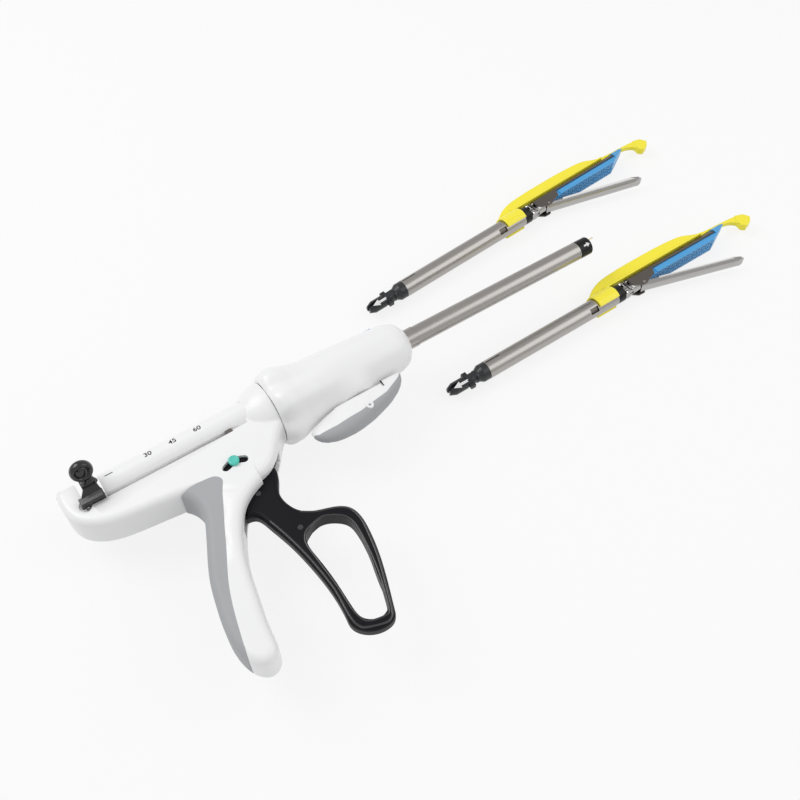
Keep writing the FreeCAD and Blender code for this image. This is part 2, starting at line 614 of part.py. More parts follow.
def make_articulation():
    """Lever, its soft pad, the cranked post it turns, and the strip that the crank moves."""
    outline = smooth([(-88.6, -25.6), (-88.2, -31.5), (-83.5, -36.8), (-73.5, -39.3), (-61.0, -39.0),
                      (-43.8, -34.8), (-30.9, -29.6), (-24.4, -23.4), (-23.0, -18.6)])
    top = straight((-23.0, -18.6), (-36.2, -18.9), (-36.2, TURRET_Y - GAP), (-68.6, TURRET_Y - GAP),
                   (-88.6, -25.6))
    side = slab(face_of([outline] + top), -10, 10)
    plan = smooth([(-90.0, 1.6), (-80.0, 4.4), (-66.0, 6.3), (LEVER_X, LEVER_HALF), (-38.0, 5.6), (-21.0, 1.8)])
    plan_low = smooth([(-90.0, -1.6), (-80.0, -4.4), (-66.0, -6.3), (LEVER_X, -LEVER_HALF), (-38.0, -5.6),
                       (-21.0, -1.8)])
    boat = face_of([plan, plan_low] + straight((-90.0, 1.6), (-90.0, -1.6)) + straight((-21.0, 1.8), (-21.0, -1.8)))
    boat = boat.extrude(Vector(0, 0, 60))
    boat.rotate(Vector(), X_AXIS, 90)
    fin = side.common(boat)
    hub = rod(TURRET_R - 0.9, (LEVER_X, TURRET_Y - GAP, 0), (LEVER_X, TURRET_Y - GAP - 3.2, 0))
    hub = hub.makeFillet(2.0, [e for e in hub.Edges if abs(e.BoundBox.YMax - (TURRET_Y - GAP - 3.2)) < 1e-4])
    boss = rod(2.3, (LEVER_X, -32.1, -LEVER_HALF - 0.6), (LEVER_X, -32.1, LEVER_HALF + 0.6))
    boss_hole = rod(0.9, (LEVER_X, -32.1, LEVER_HALF - 1.0), (LEVER_X, -32.1, LEVER_HALF + 2))
    band = smooth([(-95.0, -27.6), (-86.4, -30.6), (-75.2, -31.9), (-58.3, -32.0), (-38.6, -28.6),
                   (-27.0, -22.6), (-20.0, -18.0)])
    below = face_of([band] + straight((-20.0, -18.0), (-20.0, -60.0), (-95.0, -60.0), (-95.0, -27.6)))
    pad_zone = slab(below, -20, 20)
    pad = fin.common(pad_zone).cut(boss)
    rim = [e for e in pad.Edges if e.BoundBox.YMax < -24.5 and e.Length > 40]
    white = fin.cut(pad_zone).fuse([hub, boss]).cut(boss_hole)
    seat_hole = rod(POST_R + SEAT, (LEVER_X, TURRET_Y, 0), (LEVER_X, -26, 0))
    save("articulation_lever", single(white.cut(seat_hole)))
    save("lever_pad", single(pad.makeFillet(1.5, rim) if rim else pad))
    post = rod(POST_R, (LEVER_X, -26, 0), (LEVER_X, -13.9, 0))
    web = rod(POST_R + CRANK_OFFSET - 1.4, (LEVER_X, -15.2, 0), (LEVER_X, -13.9, 0))
    crank = rod(CRANK_PIN_R, (LEVER_X, -14.5, CRANK_OFFSET), (LEVER_X, -10.6, CRANK_OFFSET))
    save("lever_crank", single(post.fuse([web, crank])))
    yoke = box(LEVER_X - 4.5, LEVER_X + 4.5, YOKE_Y, YOKE_Y + YOKE_THICK, 0.8, 9.6)
    slot_half = CRANK_PIN_R + 0.3
    slot = box(LEVER_X - slot_half, LEVER_X + slot_half, -14, -11, CRANK_OFFSET - 3.2, CRANK_OFFSET + 1.6)
    yoke = yoke.fuse(box(LEVER_X + 3.0, -40.0, YOKE_Y, YOKE_Y + YOKE_THICK, -STRIP_HALF, 3.0))
    drop = box(-42.0, -40.0, YOKE_Y, STRIP_Y0 + STRIP_THICK, -STRIP_HALF, 3.0)
    strip = box(-42.0, STEEL_END_X + CAP_LENGTH - SOCKET_DEPTH - 5.0, STRIP_Y0, STRIP_Y0 + STRIP_THICK,
                -STRIP_HALF, STRIP_HALF)
    save("articulation_slide", single(yoke.cut(slot).fuse([drop, strip]).removeSplitter()))


def make_unload():
    """The unload slider on top of the rotation knob and its spring."""
    crown = turned(turned_profile([(x, r + 0.9) for x, r in knob_curve()[6:]]))
    x0, x1 = UNLOAD_X - UNLOAD_LENGTH / 2, UNLOAD_X + UNLOAD_LENGTH / 2
    pad = box(x0, x1, 13.6, 25, -UNLOAD_HALF, UNLOAD_HALF).common(crown)
    grooves = [box(x, x + 0.8, 16.2, 25, -6, 6) for x in (x0 + 1.6, x0 + 3.6, x0 + 5.6)]
    tongue = box(x1 - 7, x1, 9.2, 14, -2.2, 2.2)
    save("unload_slider", single(pad.cut(grooves[0].fuse(grooves[1:])).fuse(tongue)))
    coils = [Part.makeTorus(1.3, 0.3, Vector(UNLOAD_X - 10.8 + i * 0.9, 11.0, 0), X_AXIS) for i in range(3)]
    save("unload_spring", Part.makeCompound(coils))


# Reloads

def reload_tube_pieces():
    """Coupling, tube and neck of a reload."""
    curve = [(0, 2.6), (4.0, COUPLING_R), (12.6, COUPLING_R), (13.0, 3.4), (20.0, 3.4), (20.4, COUPLING_R),
             (22.0, COUPLING_R), (COLLAR_X, SHAFT_R - 0.1), (TUBE_X, SHAFT_R - 0.1),
             (TUBE_X, SHAFT_R - SHAFT_WALL - SEAT), (TUBE_X + 16, SHAFT_R - SHAFT_WALL - SEAT)]
    nub = turned(turned_profile(curve, smooth_curve=False))
    lugs = [box(13.6, 17.0, -5.9, 5.9, -1.4, 1.4), box(13.0, 20.5, -2.2, 2.2, -3.9, 3.9)]
    mouth = box(-1, 6.5, -0.9, 0.9, -6, 6)
    passage = box(-1, 60, -0.5, 1.3, -0.9, 0.9)
    link_way = box(5, 60, -0.9, 0.9, LINK_OFFSET - 0.7, LINK_OFFSET + 0.7)
    coupling = nub.fuse(lugs).cut(mouth.fuse([passage, link_way]))
    tube = rod(SHAFT_R, (TUBE_X, 0, 0), (NECK_X, 0, 0))
    tube = tube.cut(rod(SHAFT_R - SHAFT_WALL, (TUBE_X - 1, 0, 0), (NECK_X + 1, 0, 0)))
    window = box(SADDLE_X - 7.6, SADDLE_X - 1.0, -2.0, 2.0, 3.0, 8.0)
    window.rotate(Vector(), X_AXIS, 45)
    tube = tube.cut(window)
    neck = rod(SHAFT_R - 0.1, (NECK_X, 0, 0), (NECK_END_X, 0, 0))
    neck = neck.fuse(rod(SHAFT_R - SHAFT_WALL - SEAT, (NECK_X - 12, 0, 0), (NECK_X, 0, 0)))
    tangs = [box(NECK_END_X - 1, SWIVEL_X, min(s * 1.6, s * 3.0), max(s * 1.6, s * 3.0), -TANG_R, TANG_R)
             for s in (1, -1)]
    tang_ends = [rod(TANG_R, (SWIVEL_X, s * 1.6, 0), (SWIVEL_X, s * 3.0, 0)) for s in (1, -1)]
    neck = neck.fuse(tangs + tang_ends)
    pin_hole = rod(SWIVEL_PIN_R + SEAT, (SWIVEL_X, -6, 0), (SWIVEL_X, 6, 0))
    beam_way = box(NECK_X - 13, SWIVEL_X + 5, -1.4, 1.4, -0.7, 0.7)
    strip_way = box(NECK_X - 13, NECK_END_X + 1, -1.0, 1.0, LINK_OFFSET - 0.8, LINK_OFFSET + 0.8)
    neck = neck.cut(pin_hole.fuse([beam_way, strip_way]))
    return {"coupling": single(coupling), "tube": single(tube), "neck": single(neck)}


def reload_drive_pieces():
    """Articulation link and drive beam that run inside the reload's tube."""
    link = box(7.0, SWIVEL_X + 0.9, -0.7, 0.7, LINK_OFFSET - 0.5, LINK_OFFSET + 0.5)
    peg = rod(LINK_PEG_R, (SWIVEL_X, 0.5, LINK_OFFSET), (SWIVEL_X, 4.3, LINK_OFFSET))
    beam = box(3.0, NECK_END_X - 0.5, -0.35, 1.1, -0.45, 0.45)
    pins = [rod(SWIVEL_PIN_R, (SWIVEL_X, s * 1.6, 0), (SWIVEL_X, s * 4.5, 0)) for s in (1, -1)]
    return {"articulation_link": single(link.fuse(peg)), "drive_beam": beam,
            "swivel_pins": Part.makeCompound(pins)}


def jaw_section(radius, half, x0, x1, y0, y1):
    """A round bar with flattened flanks, kept between two levels."""
    return rod(radius, (x0, 0, 0), (x1, 0, 0)).common(box(x0, x1, y0, y1, -half, half))


def reload_block():
    """The block that swivels on the neck and carries the channel."""
    inner_r = JAW_R - JAW_SHEET - SEAT
    inner_half = JAW_HALF - JAW_SHEET - SEAT
    body = jaw_section(inner_r, inner_half, SWIVEL_X + 3.4, BLOCK_END_X, -inner_r, inner_r)
    ears = []
    for side in (1, -1):
        y0, y1 = sorted((side * 3.2, side * 4.5))
        strap = box(SWIVEL_X, SWIVEL_X + 4.6, y0, y1, -2.8, 2.8)
        ears.append(strap.common(rod(inner_r, (SWIVEL_X - 1, 0, 0), (SWIVEL_X + 6, 0, 0))))
        ears.append(rod(EAR_R, (SWIVEL_X, y0, 0), (SWIVEL_X, y1, 0)))
    block = body.fuse(ears)
    fork = box(SWIVEL_X - 0.8, SWIVEL_X + 0.8, 2.0, 6.0, LINK_OFFSET - 0.65, LINK_OFFSET + 3.0)
    pin_hole = rod(SWIVEL_PIN_R + RUN, (SWIVEL_X, -8, 0), (SWIVEL_X, 8, 0))
    knife_way = box(SWIVEL_X, BLOCK_END_X + 1, -4.8, 4.6, -KNIFE_SLOT_HALF - 0.1, KNIFE_SLOT_HALF + 0.1)
    return single(block.cut(fork.fuse([pin_hole, knife_way])))


def staple_slots(x_shift, grow, y0, y1):
    """Staggered rows of staple openings on both sides of the knife slot."""
    cuts = []
    for row, offset in enumerate(STAPLE_ROWS):
        stagger = (row % 2) * STAPLE_PITCH / 2.0
        for i in range(STAPLES_PER_ROW):
            x = CARTRIDGE_X + 5.0 + x_shift + stagger + i * STAPLE_PITCH
            half = STAPLE_WIDTH / 2.0 + grow
            for s in (1, -1):
                z = s * offset
                cuts.append(box(x - grow, x + STAPLE_LENGTH + grow, y0, y1, z - half, z + half))
    return Part.makeCompound(cuts)


def reload_channel_pieces():
    """Channel, cartridge, knife sled and jaw pin."""
    rear = SWIVEL_X + 3.6
    outer = jaw_section(JAW_R, JAW_HALF, rear, CHANNEL_END_X, CHANNEL_EDGE_Y, JAW_R)
    cheek = slab(polygon([(rear, CHANNEL_EDGE_Y + 1), (rear, -2.0), (HINGE_X - 3.2, -6.2), (HINGE_X + 1.6, -6.4),
                          (HINGE_X + 3.4, -5.0), (CARTRIDGE_X + 7.0, TISSUE_Y + 0.6),
                          (CARTRIDGE_X + 9.5, CHANNEL_EDGE_Y + 1)]), -JAW_HALF, JAW_HALF)
    inner_half = JAW_HALF - JAW_SHEET
    hollow = jaw_section(JAW_R - JAW_SHEET, inner_half, rear - 1, CHANNEL_END_X + 1, -JAW_R, JAW_R)
    below = box(rear - 1, CHANNEL_END_X + 1, -9, 1.6, -inner_half, inner_half)
    pin_hole = rod(HINGE_PIN_R + SEAT, (HINGE_X, HINGE_Y, -9), (HINGE_X, HINGE_Y, 9))
    channel = outer.fuse(cheek).removeSplitter().cut(hollow.fuse([below, pin_hole]))
    floor_slot = box(CARTRIDGE_X + 2, CHANNEL_END_X - 6, 3, 8, -0.6, 0.6)
    channel = channel.cut(floor_slot)
    filler = jaw_section(JAW_R - JAW_SHEET - SEAT, inner_half - SEAT, CARTRIDGE_X, TIP_X - 10, 0, 3.6)
    nose_face = polygon([(CARTRIDGE_X, TISSUE_Y), (TIP_X - 19.0, TISSUE_Y), (TIP_X - 1.6, 4.6), (TIP_X, 5.6),
                         (TIP_X - 4.0, 5.8), (CHANNEL_END_X + 0.3, 5.8), (CHANNEL_END_X + 0.3, 3.6),
                         (CARTRIDGE_X, 3.6)])
    nose = slab(nose_face, -JAW_HALF, JAW_HALF)
    tip_plan = polygon([(CARTRIDGE_X - 1, -JAW_HALF), (TIP_X - 12, -JAW_HALF), (TIP_X + 0.5, -2.2),
                        (TIP_X + 0.5, 2.2), (TIP_X - 12, JAW_HALF), (CARTRIDGE_X - 1, JAW_HALF)])
    tip_plan = tip_plan.extrude(Vector(0, 0, 20))
    tip_plan.rotate(Vector(), X_AXIS, 90)
    tip_plan.translate(Vector(0, 10, 0))
    round_bar = rod(JAW_R + 0.9, (CARTRIDGE_X, 0, 0), (TIP_X + 1, 0, 0))
    nose = nose.common(tip_plan).common(round_bar)
    wall_room = box(CARTRIDGE_X - 1, CHANNEL_END_X + 0.3, CHANNEL_EDGE_Y - GAP, 9, -9, 9)
    cheek_room = box(CARTRIDGE_X - 1, CARTRIDGE_X + 9.8, -9, CHANNEL_EDGE_Y, -9, 9)
    middle = box(CARTRIDGE_X - 1, TIP_X, -9, 9, -inner_half + SEAT, inner_half - SEAT)
    cartridge = nose.cut(wall_room.fuse(cheek_room).cut(middle))
    cartridge = cartridge.common(box(CARTRIDGE_X, TIP_X + 1, TISSUE_Y - 1, 3.6, -9, 9).fuse(
        box(CHANNEL_END_X + 0.3, TIP_X + 1, -9, 9, -9, 9)))
    cartridge = cartridge.cut(jaw_section(20, 20, CARTRIDGE_X - 1, CHANNEL_END_X + 0.3, 0, 9).cut(
        rod(JAW_R - JAW_SHEET - SEAT, (CARTRIDGE_X - 1, 0, 0), (CHANNEL_END_X + 0.3, 0, 0))))
    knife_slot = box(CARTRIDGE_X - 1, CHANNEL_END_X - 5, TISSUE_Y - 1, 5, -KNIFE_SLOT_HALF, KNIFE_SLOT_HALF)
    slots = staple_slots(0.0, 0.0, TISSUE_Y - 1, TISSUE_Y + 1.6)
    cartridge = cartridge.cut(knife_slot).cut(slots)
    blade_face = polygon([(CARTRIDGE_X - 1.5, 3.75), (CARTRIDGE_X - 1.5, -2.6), (CARTRIDGE_X + 0.5, TISSUE_Y - 1.3),
                          (CARTRIDGE_X + 2.6, TISSUE_Y - 0.9), (CARTRIDGE_X + 4.4, 0.6),
                          (CARTRIDGE_X + 4.4, 3.75)])
    blade = slab(blade_face, -0.35, 0.35)
    sled = box(CARTRIDGE_X - 1.5, CARTRIDGE_X + 4.4, 3.75, 4.35, -1.9, 1.9)
    pin = rod(HINGE_PIN_R, (HINGE_X, HINGE_Y, -JAW_HALF), (HINGE_X, HINGE_Y, JAW_HALF))
    return {"channel": single(channel), "cartridge": single(cartridge),
            "knife_sled": single(blade.fuse(sled)), "jaw_pin": pin}


def reload_anvil():
    """The anvil jaw, closed on the cartridge and then swung open about the jaw pin."""
    face_y = TISSUE_Y - 0.2
    side = polygon([(HINGE_X - 1.6, face_y - 0.9), (HINGE_X - 1.6, face_y), (ANVIL_TIP_X - 2.0, face_y),
                    (ANVIL_TIP_X, face_y - 0.7), (ANVIL_TIP_X - 1.2, face_y - 1.7),
                    (ANVIL_TIP_X - 9.0, face_y - ANVIL_THICK), (HINGE_X + 1.0, face_y - ANVIL_THICK),
                    (HINGE_X - 1.6, face_y - ANVIL_THICK + 0.8)])
    bar = slab(side, -JAW_HALF, JAW_HALF)
    crown = rod(6.4, (HINGE_X - 4, face_y - ANVIL_THICK + 6.4, 0), (ANVIL_TIP_X + 1, face_y - ANVIL_THICK + 6.4, 0))
    plan = polygon([(HINGE_X - 4, -JAW_HALF), (ANVIL_TIP_X - 11, -JAW_HALF), (ANVIL_TIP_X - 3, -3.6),
                    (ANVIL_TIP_X + 0.2, -1.6), (ANVIL_TIP_X + 0.2, 1.6), (ANVIL_TIP_X - 3, 3.6),
                    (ANVIL_TIP_X - 11, JAW_HALF), (HINGE_X - 4, JAW_HALF)]).extrude(Vector(0, 0, 20))
    plan.rotate(Vector(), X_AXIS, 90)
    plan.translate(Vector(0, 10, 0))
    bar = bar.common(crown).common(plan)
    inner_half = JAW_HALF - JAW_SHEET - 0.1
    flanks = box(HINGE_X - 4, CARTRIDGE_X + 7.6, -12, 0, -9, 9).cut(
        box(HINGE_X - 5, CARTRIDGE_X + 9, -13, 1, -inner_half, inner_half))
    bar = bar.cut(flanks)
    blade_groove = box(HINGE_X - 5, CHANNEL_END_X - 4, face_y - 1.8, face_y + 3, -0.6, 0.6)
    pin_hole = rod(HINGE_PIN_R + RUN, (HINGE_X, HINGE_Y, -9), (HINGE_X, HINGE_Y, 9))
    pockets = staple_slots(0.0, 0.1, face_y - 0.3, face_y + 1)
    anvil = single(bar.cut(blade_groove.fuse(pin_hole)).cut(pockets))
    anvil.rotate(Vector(HINGE_X, HINGE_Y, 0), Z_AXIS, -JAW_OPEN)
    return anvil


def reload_wedge():
    """The shipping wedge: a saddle over the tube, a fin, a strip over the jaw and a pull tail."""
    inner = SHAFT_R + 0.2
    outer = inner + 1.4
    saddle = rod(outer, (SADDLE_X, 0, 0), (NECK_X, 0, 0))
    legs = box(SADDLE_X, NECK_X, -4.2, 0, -outer, outer)
    saddle = saddle.common(box(SADDLE_X, NECK_X, 0, 20, -20, 20)).fuse(legs)
    hollow = rod(inner, (SADDLE_X - 1, 0, 0), (NECK_X + 1, 0, 0))
    saddle = saddle.cut(hollow).cut(box(SADDLE_X - 1, NECK_X + 1, -9, 0, -inner, inner))
    start = SADDLE_X
    ridge = smooth([(start - 1.5, outer - 0.6), (start + 4.4, 9.6), (start + 12.4, 16.2), (start + 22.4, 18.6),
                    (start + 39.4, 19.4), (start + 63.4, 19.4), (start + 85.4, 18.2), (start + 93.4, 16.6),
                    (start + 100.4, 10.6), (start + 107.4, outer + 1.0)])
    strip_low = JAW_R + 0.5
    fin_low = straight((start + 107.4, outer + 1.0), (start + 107.4, strip_low), (NECK_X, strip_low),
                       (NECK_X, inner), (start - 1.5, inner), (start - 1.5, outer - 0.6))
    fin = slab(face_of([ridge] + fin_low), -WEDGE_THICK / 2, WEDGE_THICK / 2)
    fin = fin.makeFillet(0.9, [e for e in level_edges(fin, -WEDGE_THICK / 2, WEDGE_THICK / 2) if e.Length > 60
                               and e.BoundBox.YMax > 18])
    base = box(NECK_X - 2, start + 105.4, strip_low, strip_low + 1.2, -4.4, 4.4)
    top = smooth([(start + 101.4, 8.4), (start + 115.4, 8.0), (start + 126.4, 9.6), (start + 134.4, 9.6),
                  (start + 141.4, 6.8), (start + 146.4, 2.0)])
    grip = smooth([(start + 146.4, 2.0), (start + 142.4, -2.4), (start + 136.0, -7.6)])
    under = smooth([(start + 136.0, -7.6), (start + 134.0, -5.6), (start + 135.8, 0.4), (start + 132.8, 5.2),
                    (start + 126.4, strip_low + 0.4)])
    back = straight((start + 126.4, strip_low + 0.4), (start + 101.4, strip_low), (start + 101.4, 8.4))
    tail = slab(face_of([top, grip, under] + back), -2.6, 2.6)
    return single(saddle.fuse([fin, base, tail]))


def make_reloads():
    """Both loose reloads, laid beside the handle."""
    pieces = reload_tube_pieces()
    pieces.update(reload_drive_pieces())
    pieces["swivel_block"] = reload_block()
    pieces.update(reload_channel_pieces())
    pieces["anvil"] = reload_anvil()
    pieces["shipping_wedge"] = reload_wedge()
    for number, (x, y, turn) in enumerate(RELOAD_POSES, start=1):
        for name, piece in pieces.items():
            laid = piece.copy()
            laid.rotate(Vector(), Z_AXIS, turn)
            laid.translate(Vector(x, y, TABLE_DROP))
            save("reload_%d_%s" % (number, name), laid)


os.makedirs("parts", exist_ok=True)
make_housing()
make_trigger()
make_safety()
knob_reach = make_rack()
make_return_knobs(knob_reach)
make_rotation_knob()
make_shaft()
make_articulation()
make_unload()
make_reloads()
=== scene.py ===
"""Looks of an endoscopic linear cutter stapler with two loose reloads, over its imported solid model."""

from __future__ import annotations

import json
import logging
import math
from dataclasses import dataclass, field, replace
from enum import Enum
from typing import Optional, Sequence, Union

import bmesh
import bpy
from mathutils import Matrix, Vector

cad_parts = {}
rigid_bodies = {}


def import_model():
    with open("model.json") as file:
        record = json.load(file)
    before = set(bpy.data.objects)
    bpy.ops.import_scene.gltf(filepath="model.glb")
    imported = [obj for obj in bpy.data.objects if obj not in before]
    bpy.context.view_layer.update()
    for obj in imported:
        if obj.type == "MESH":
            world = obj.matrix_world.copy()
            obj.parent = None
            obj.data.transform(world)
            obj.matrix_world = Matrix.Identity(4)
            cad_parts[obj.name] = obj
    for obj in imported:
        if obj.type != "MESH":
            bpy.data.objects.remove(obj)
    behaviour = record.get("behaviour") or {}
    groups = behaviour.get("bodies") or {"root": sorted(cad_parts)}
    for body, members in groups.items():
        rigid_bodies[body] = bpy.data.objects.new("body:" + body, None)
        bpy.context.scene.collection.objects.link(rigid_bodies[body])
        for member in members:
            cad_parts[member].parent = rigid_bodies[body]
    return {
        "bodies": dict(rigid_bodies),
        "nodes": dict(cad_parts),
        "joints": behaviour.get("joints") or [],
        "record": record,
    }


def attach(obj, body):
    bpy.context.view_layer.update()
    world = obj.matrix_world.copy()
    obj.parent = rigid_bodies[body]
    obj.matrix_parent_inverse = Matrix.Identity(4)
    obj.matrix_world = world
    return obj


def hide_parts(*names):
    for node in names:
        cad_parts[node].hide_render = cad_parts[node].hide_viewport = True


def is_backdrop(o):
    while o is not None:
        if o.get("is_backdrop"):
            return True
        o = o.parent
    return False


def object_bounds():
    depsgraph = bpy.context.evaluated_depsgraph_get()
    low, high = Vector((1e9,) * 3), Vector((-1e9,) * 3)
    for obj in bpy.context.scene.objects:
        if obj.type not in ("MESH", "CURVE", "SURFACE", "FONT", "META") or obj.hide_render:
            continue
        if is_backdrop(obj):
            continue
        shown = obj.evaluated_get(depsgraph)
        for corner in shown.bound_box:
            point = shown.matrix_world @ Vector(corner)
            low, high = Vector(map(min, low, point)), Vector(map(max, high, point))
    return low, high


LOG = logging.getLogger("stapler")
MM = 0.001
TURN = 2.0 * math.pi
Number = Union[int, float]


class Texture(Enum):
    """How a surface was made, which decides its fine relief."""

    MOULDED = "moulded"
    SPARKED = "sparked"
    TURNED = "turned"
    BRUSHED = "brushed"
    GROUND = "ground"
    PLAIN = "plain"


class Wire:
    """A shader socket that Python's arithmetic operators can work on."""

    def __init__(self, shader: "Shader", socket: bpy.types.NodeSocket) -> None:
        """Keeps the shader that holds the socket.

        Args:
            shader: the shader whose node tree the socket is in.
            socket: an output socket that carries a number.
        """
        self.shader = shader
        self.socket = socket

    def _maths(self, operation: str, first: "Feed", second: "Feed") -> "Wire":
        """Adds one Math node.

        Args:
            operation: the Math node's operation.
            first: the first operand.
            second: the second operand.

        Returns:
            The result's wire.
        """
        node = self.shader.node("ShaderNodeMath", {"operation": operation}, {0: first, 1: second})
        return Wire(self.shader, node.outputs[0])

    def __add__(self, other: "Feed") -> "Wire":
        """The sum of two values."""
        return self._maths("ADD", self, other)

    def __radd__(self, other: "Feed") -> "Wire":
        """The sum, with this value second."""
        return self._maths("ADD", other, self)

    def __mul__(self, other: "Feed") -> "Wire":
        """The product of two values."""
        return self._maths("MULTIPLY", self, other)

    def __rmul__(self, other: "Feed") -> "Wire":
        """The product, with this value second."""
        return self._maths("MULTIPLY", other, self)

    def at_least(self, other: "Feed") -> "Wire":
        """The larger of two values."""
        return self._maths("MAXIMUM", self, other)


Feed = Union[Wire, bpy.types.NodeSocket, Number, Sequence[float]]


class NodeTree:
    """A node tree under construction."""

    def __init__(self, tree: bpy.types.NodeTree) -> None:
        """Keeps the tree and empties it.

        Args:
            tree: the tree that nodes are added to.
        """
        self.tree = tree
        self.tree.nodes.clear()

    def node(self, kind: str, settings: Optional[dict] = None, feeds: Optional[dict] = None) -> bpy.types.Node:
        """Adds one node.

        Args:
            kind: the node's type name.
            settings: attributes, which are set before the sockets.
            feeds: values or links by socket name or number.

        Returns:
            The new node.
        """
        node = self.tree.nodes.new(kind)
        for key, value in (settings or {}).items():
            setattr(node, key, value)
        for key, value in (feeds or {}).items():
            socket = node.inputs[key]
            if isinstance(value, Wire):
                self.tree.links.new(value.socket, socket)
            elif isinstance(value, bpy.types.NodeSocket):
                self.tree.links.new(value, socket)
            else:
                socket.default_value = value
        return node


class Shader(NodeTree):
    """A material under construction."""

    def __init__(self, name: str) -> None:
        """Starts an empty material.

        Args:
            name: the material's name.
        """
        self.material = bpy.data.materials.new(name)
        self.material.use_nodes = True
        super().__init__(self.material.node_tree)

    def wire(self, node: bpy.types.Node, output: Union[str, int] = 0) -> Wire:
        """One output of a node as a wire."""
        return Wire(self, node.outputs[output])

    def coordinates(self, turn: float = 0.0, stretch: Sequence[float] = (1, 1, 1)) -> Wire:
        """Object coordinates turned about Z and then stretched.

        Args:
            turn: angle in degrees of the piece's own X axis.
            stretch: factor along each of the piece's own axes.

        Returns:
            The vector's wire.
        """
        place = self.node("ShaderNodeTexCoord")
        turned = self.node("ShaderNodeMapping", {"vector_type": "POINT"},
                           {"Vector": place.outputs["Object"], "Rotation": (0, 0, -math.radians(turn))})
        sized = self.node("ShaderNodeMapping", {"vector_type": "POINT"},
                          {"Vector": turned.outputs[0], "Scale": tuple(stretch)})
        return self.wire(sized)

    def noise(self, vector: Wire, scale: float, detail: float = 3.0, rough: float = 0.5) -> Wire:
        """A noise value over a vector.

        Args:
            vector: where to read the noise.
            scale: features for each metre.
            detail: octaves.
            rough: strength of the finer octaves.

        Returns:
            The value's wire.
        """
        made = self.node("ShaderNodeTexNoise", {"noise_dimensions": "3D"},
                         {"Vector": vector, "Scale": scale, "Detail": detail, "Roughness": rough})
        return self.wire(made, 0)

    def tint(self, factor: Feed, low: Sequence[float], high: Sequence[float]) -> Wire:
        """A colour between two colours.

        Args:
            factor: 0 gives the first colour and 1 the second.
            low: first colour.
            high: second colour.

        Returns:
            The colour's wire.
        """
        mixed = self.node("ShaderNodeMix", {"data_type": "RGBA"}, {0: factor, 6: tuple(low), 7: tuple(high)})
        return self.wire(mixed, 2)

    def bump(self, height: Feed, depth: float, strength: float = 1.0) -> Wire:
        """A relief from a height.

        Args:
            height: the height's wire, from 0 to 1.
            depth: the relief's depth in metres.
            strength: share of the relief that shows.

        Returns:
            The normal's wire.
        """
        made = self.node("ShaderNodeBump", None, {"Height": height, "Distance": depth, "Strength": strength})
        return self.wire(made)

    def surface(self, feeds: dict) -> bpy.types.Material:
        """Closes the material with a Principled surface.

        Args:
            feeds: the surface's sockets.

        Returns:
            The finished material.
        """
        body = self.node("ShaderNodeBsdfPrincipled", None, feeds)
        self.node("ShaderNodeOutputMaterial", None, {"Surface": body.outputs[0]})
        return self.material


@dataclass(frozen=True)
class Finish:
    """What a surface is made of and how it was finished."""

    name: str
    colour: tuple[float, float, float]
    roughness: float
    texture: Texture
    metallic: float = 0.0
    coat: float = 0.0
    turn: float = 0.0
    mottle: float = 0.04
    specular: float = 0.5
    broad_scale: float = 28.0
    fine_scale: float = 620.0
    fine_depth: float = 0.000022
    spark_scales: tuple[float, float] = (5200.0, 1900.0)
    spark_depth: float = 0.00005
    line_depth: float = 0.000012

    def _shades(self) -> tuple[tuple[float, ...], tuple[float, ...]]:
        """The darker and the lighter colour that the mottle runs between."""
        low = tuple(max(0.0, c * (1.0 - self.mottle)) for c in self.colour) + (1.0,)
        high = tuple(min(1.0, c * (1.0 + self.mottle * 0.5)) for c in self.colour) + (1.0,)
        return low, high

    def build(self) -> bpy.types.Material:
        """Makes the material.

        Returns:
            The finished material.
        """
        shader = Shader(self.name)
        low, high = self._shades()
        if self.texture in (Texture.TURNED, Texture.BRUSHED):
            return self._metal(shader, low, high)
        place = shader.coordinates(self.turn)
        broad = shader.noise(place, self.broad_scale, 2.0)
        grain, depth = self._grain(shader, place)
        feeds = {
            "Base Color": shader.tint(broad, low, high),
            "Metallic": self.metallic,
            "Roughness": self.roughness - 0.05 + broad * 0.06 + grain * 0.04,
            "Normal": shader.bump(grain, depth),
            "Coat Weight": self.coat,
            "Coat Roughness": 0.12,
            "Specular IOR Level": self.specular,
        }
        return shader.surface(feeds)

    def _grain(self, shader: Shader, place: Wire) -> tuple[Wire, float]:
        """The fine relief of a moulded or ground surface.

        Args:
            shader: the material under construction.
            place: the pattern's coordinates.

        Returns:
            The height's wire and the relief's depth in metres.
        """
        if self.texture is Texture.SPARKED:
            fine = shader.noise(place, self.spark_scales[0], 2.0, 0.6)
            coarse = shader.noise(place, self.spark_scales[1], 2.0)
            return fine * 0.6 + coarse * 0.4, self.spark_depth
        if self.texture is Texture.GROUND:
            streak = shader.coordinates(self.turn, (300.0, 9000.0, 9000.0))
            return shader.noise(streak, 1.0, 2.0), 0.00001
        return shader.noise(place, self.fine_scale, 2.0), self.fine_depth

    def _metal(self, shader: Shader, low: Sequence[float], high: Sequence[float]) -> bpy.types.Material:
        """A metal with fine lines round it, when turned, or along it, when brushed.

        Args:
            shader: the material under construction.
            low: darker colour.
            high: lighter colour.

        Returns:
            The finished material.
        """
        turned = self.texture is Texture.TURNED
        stretch = (5200.0, 90.0, 90.0) if turned else (110.0, 5200.0, 5200.0)
        lines = shader.noise(shader.coordinates(self.turn, stretch), 1.0, 3.0, 0.6)
        cloud = shader.noise(shader.coordinates(self.turn), 55.0, 3.0)
        feeds = {
            "Base Color": shader.tint(lines * 0.6 + cloud * 0.4, low, high),
            "Metallic": self.metallic,
            "Roughness": self.roughness - 0.08 + lines * 0.1 + cloud * 0.08,
            "Normal": shader.bump(lines, self.line_depth, 0.8),
        }
        return shader.surface(feeds)


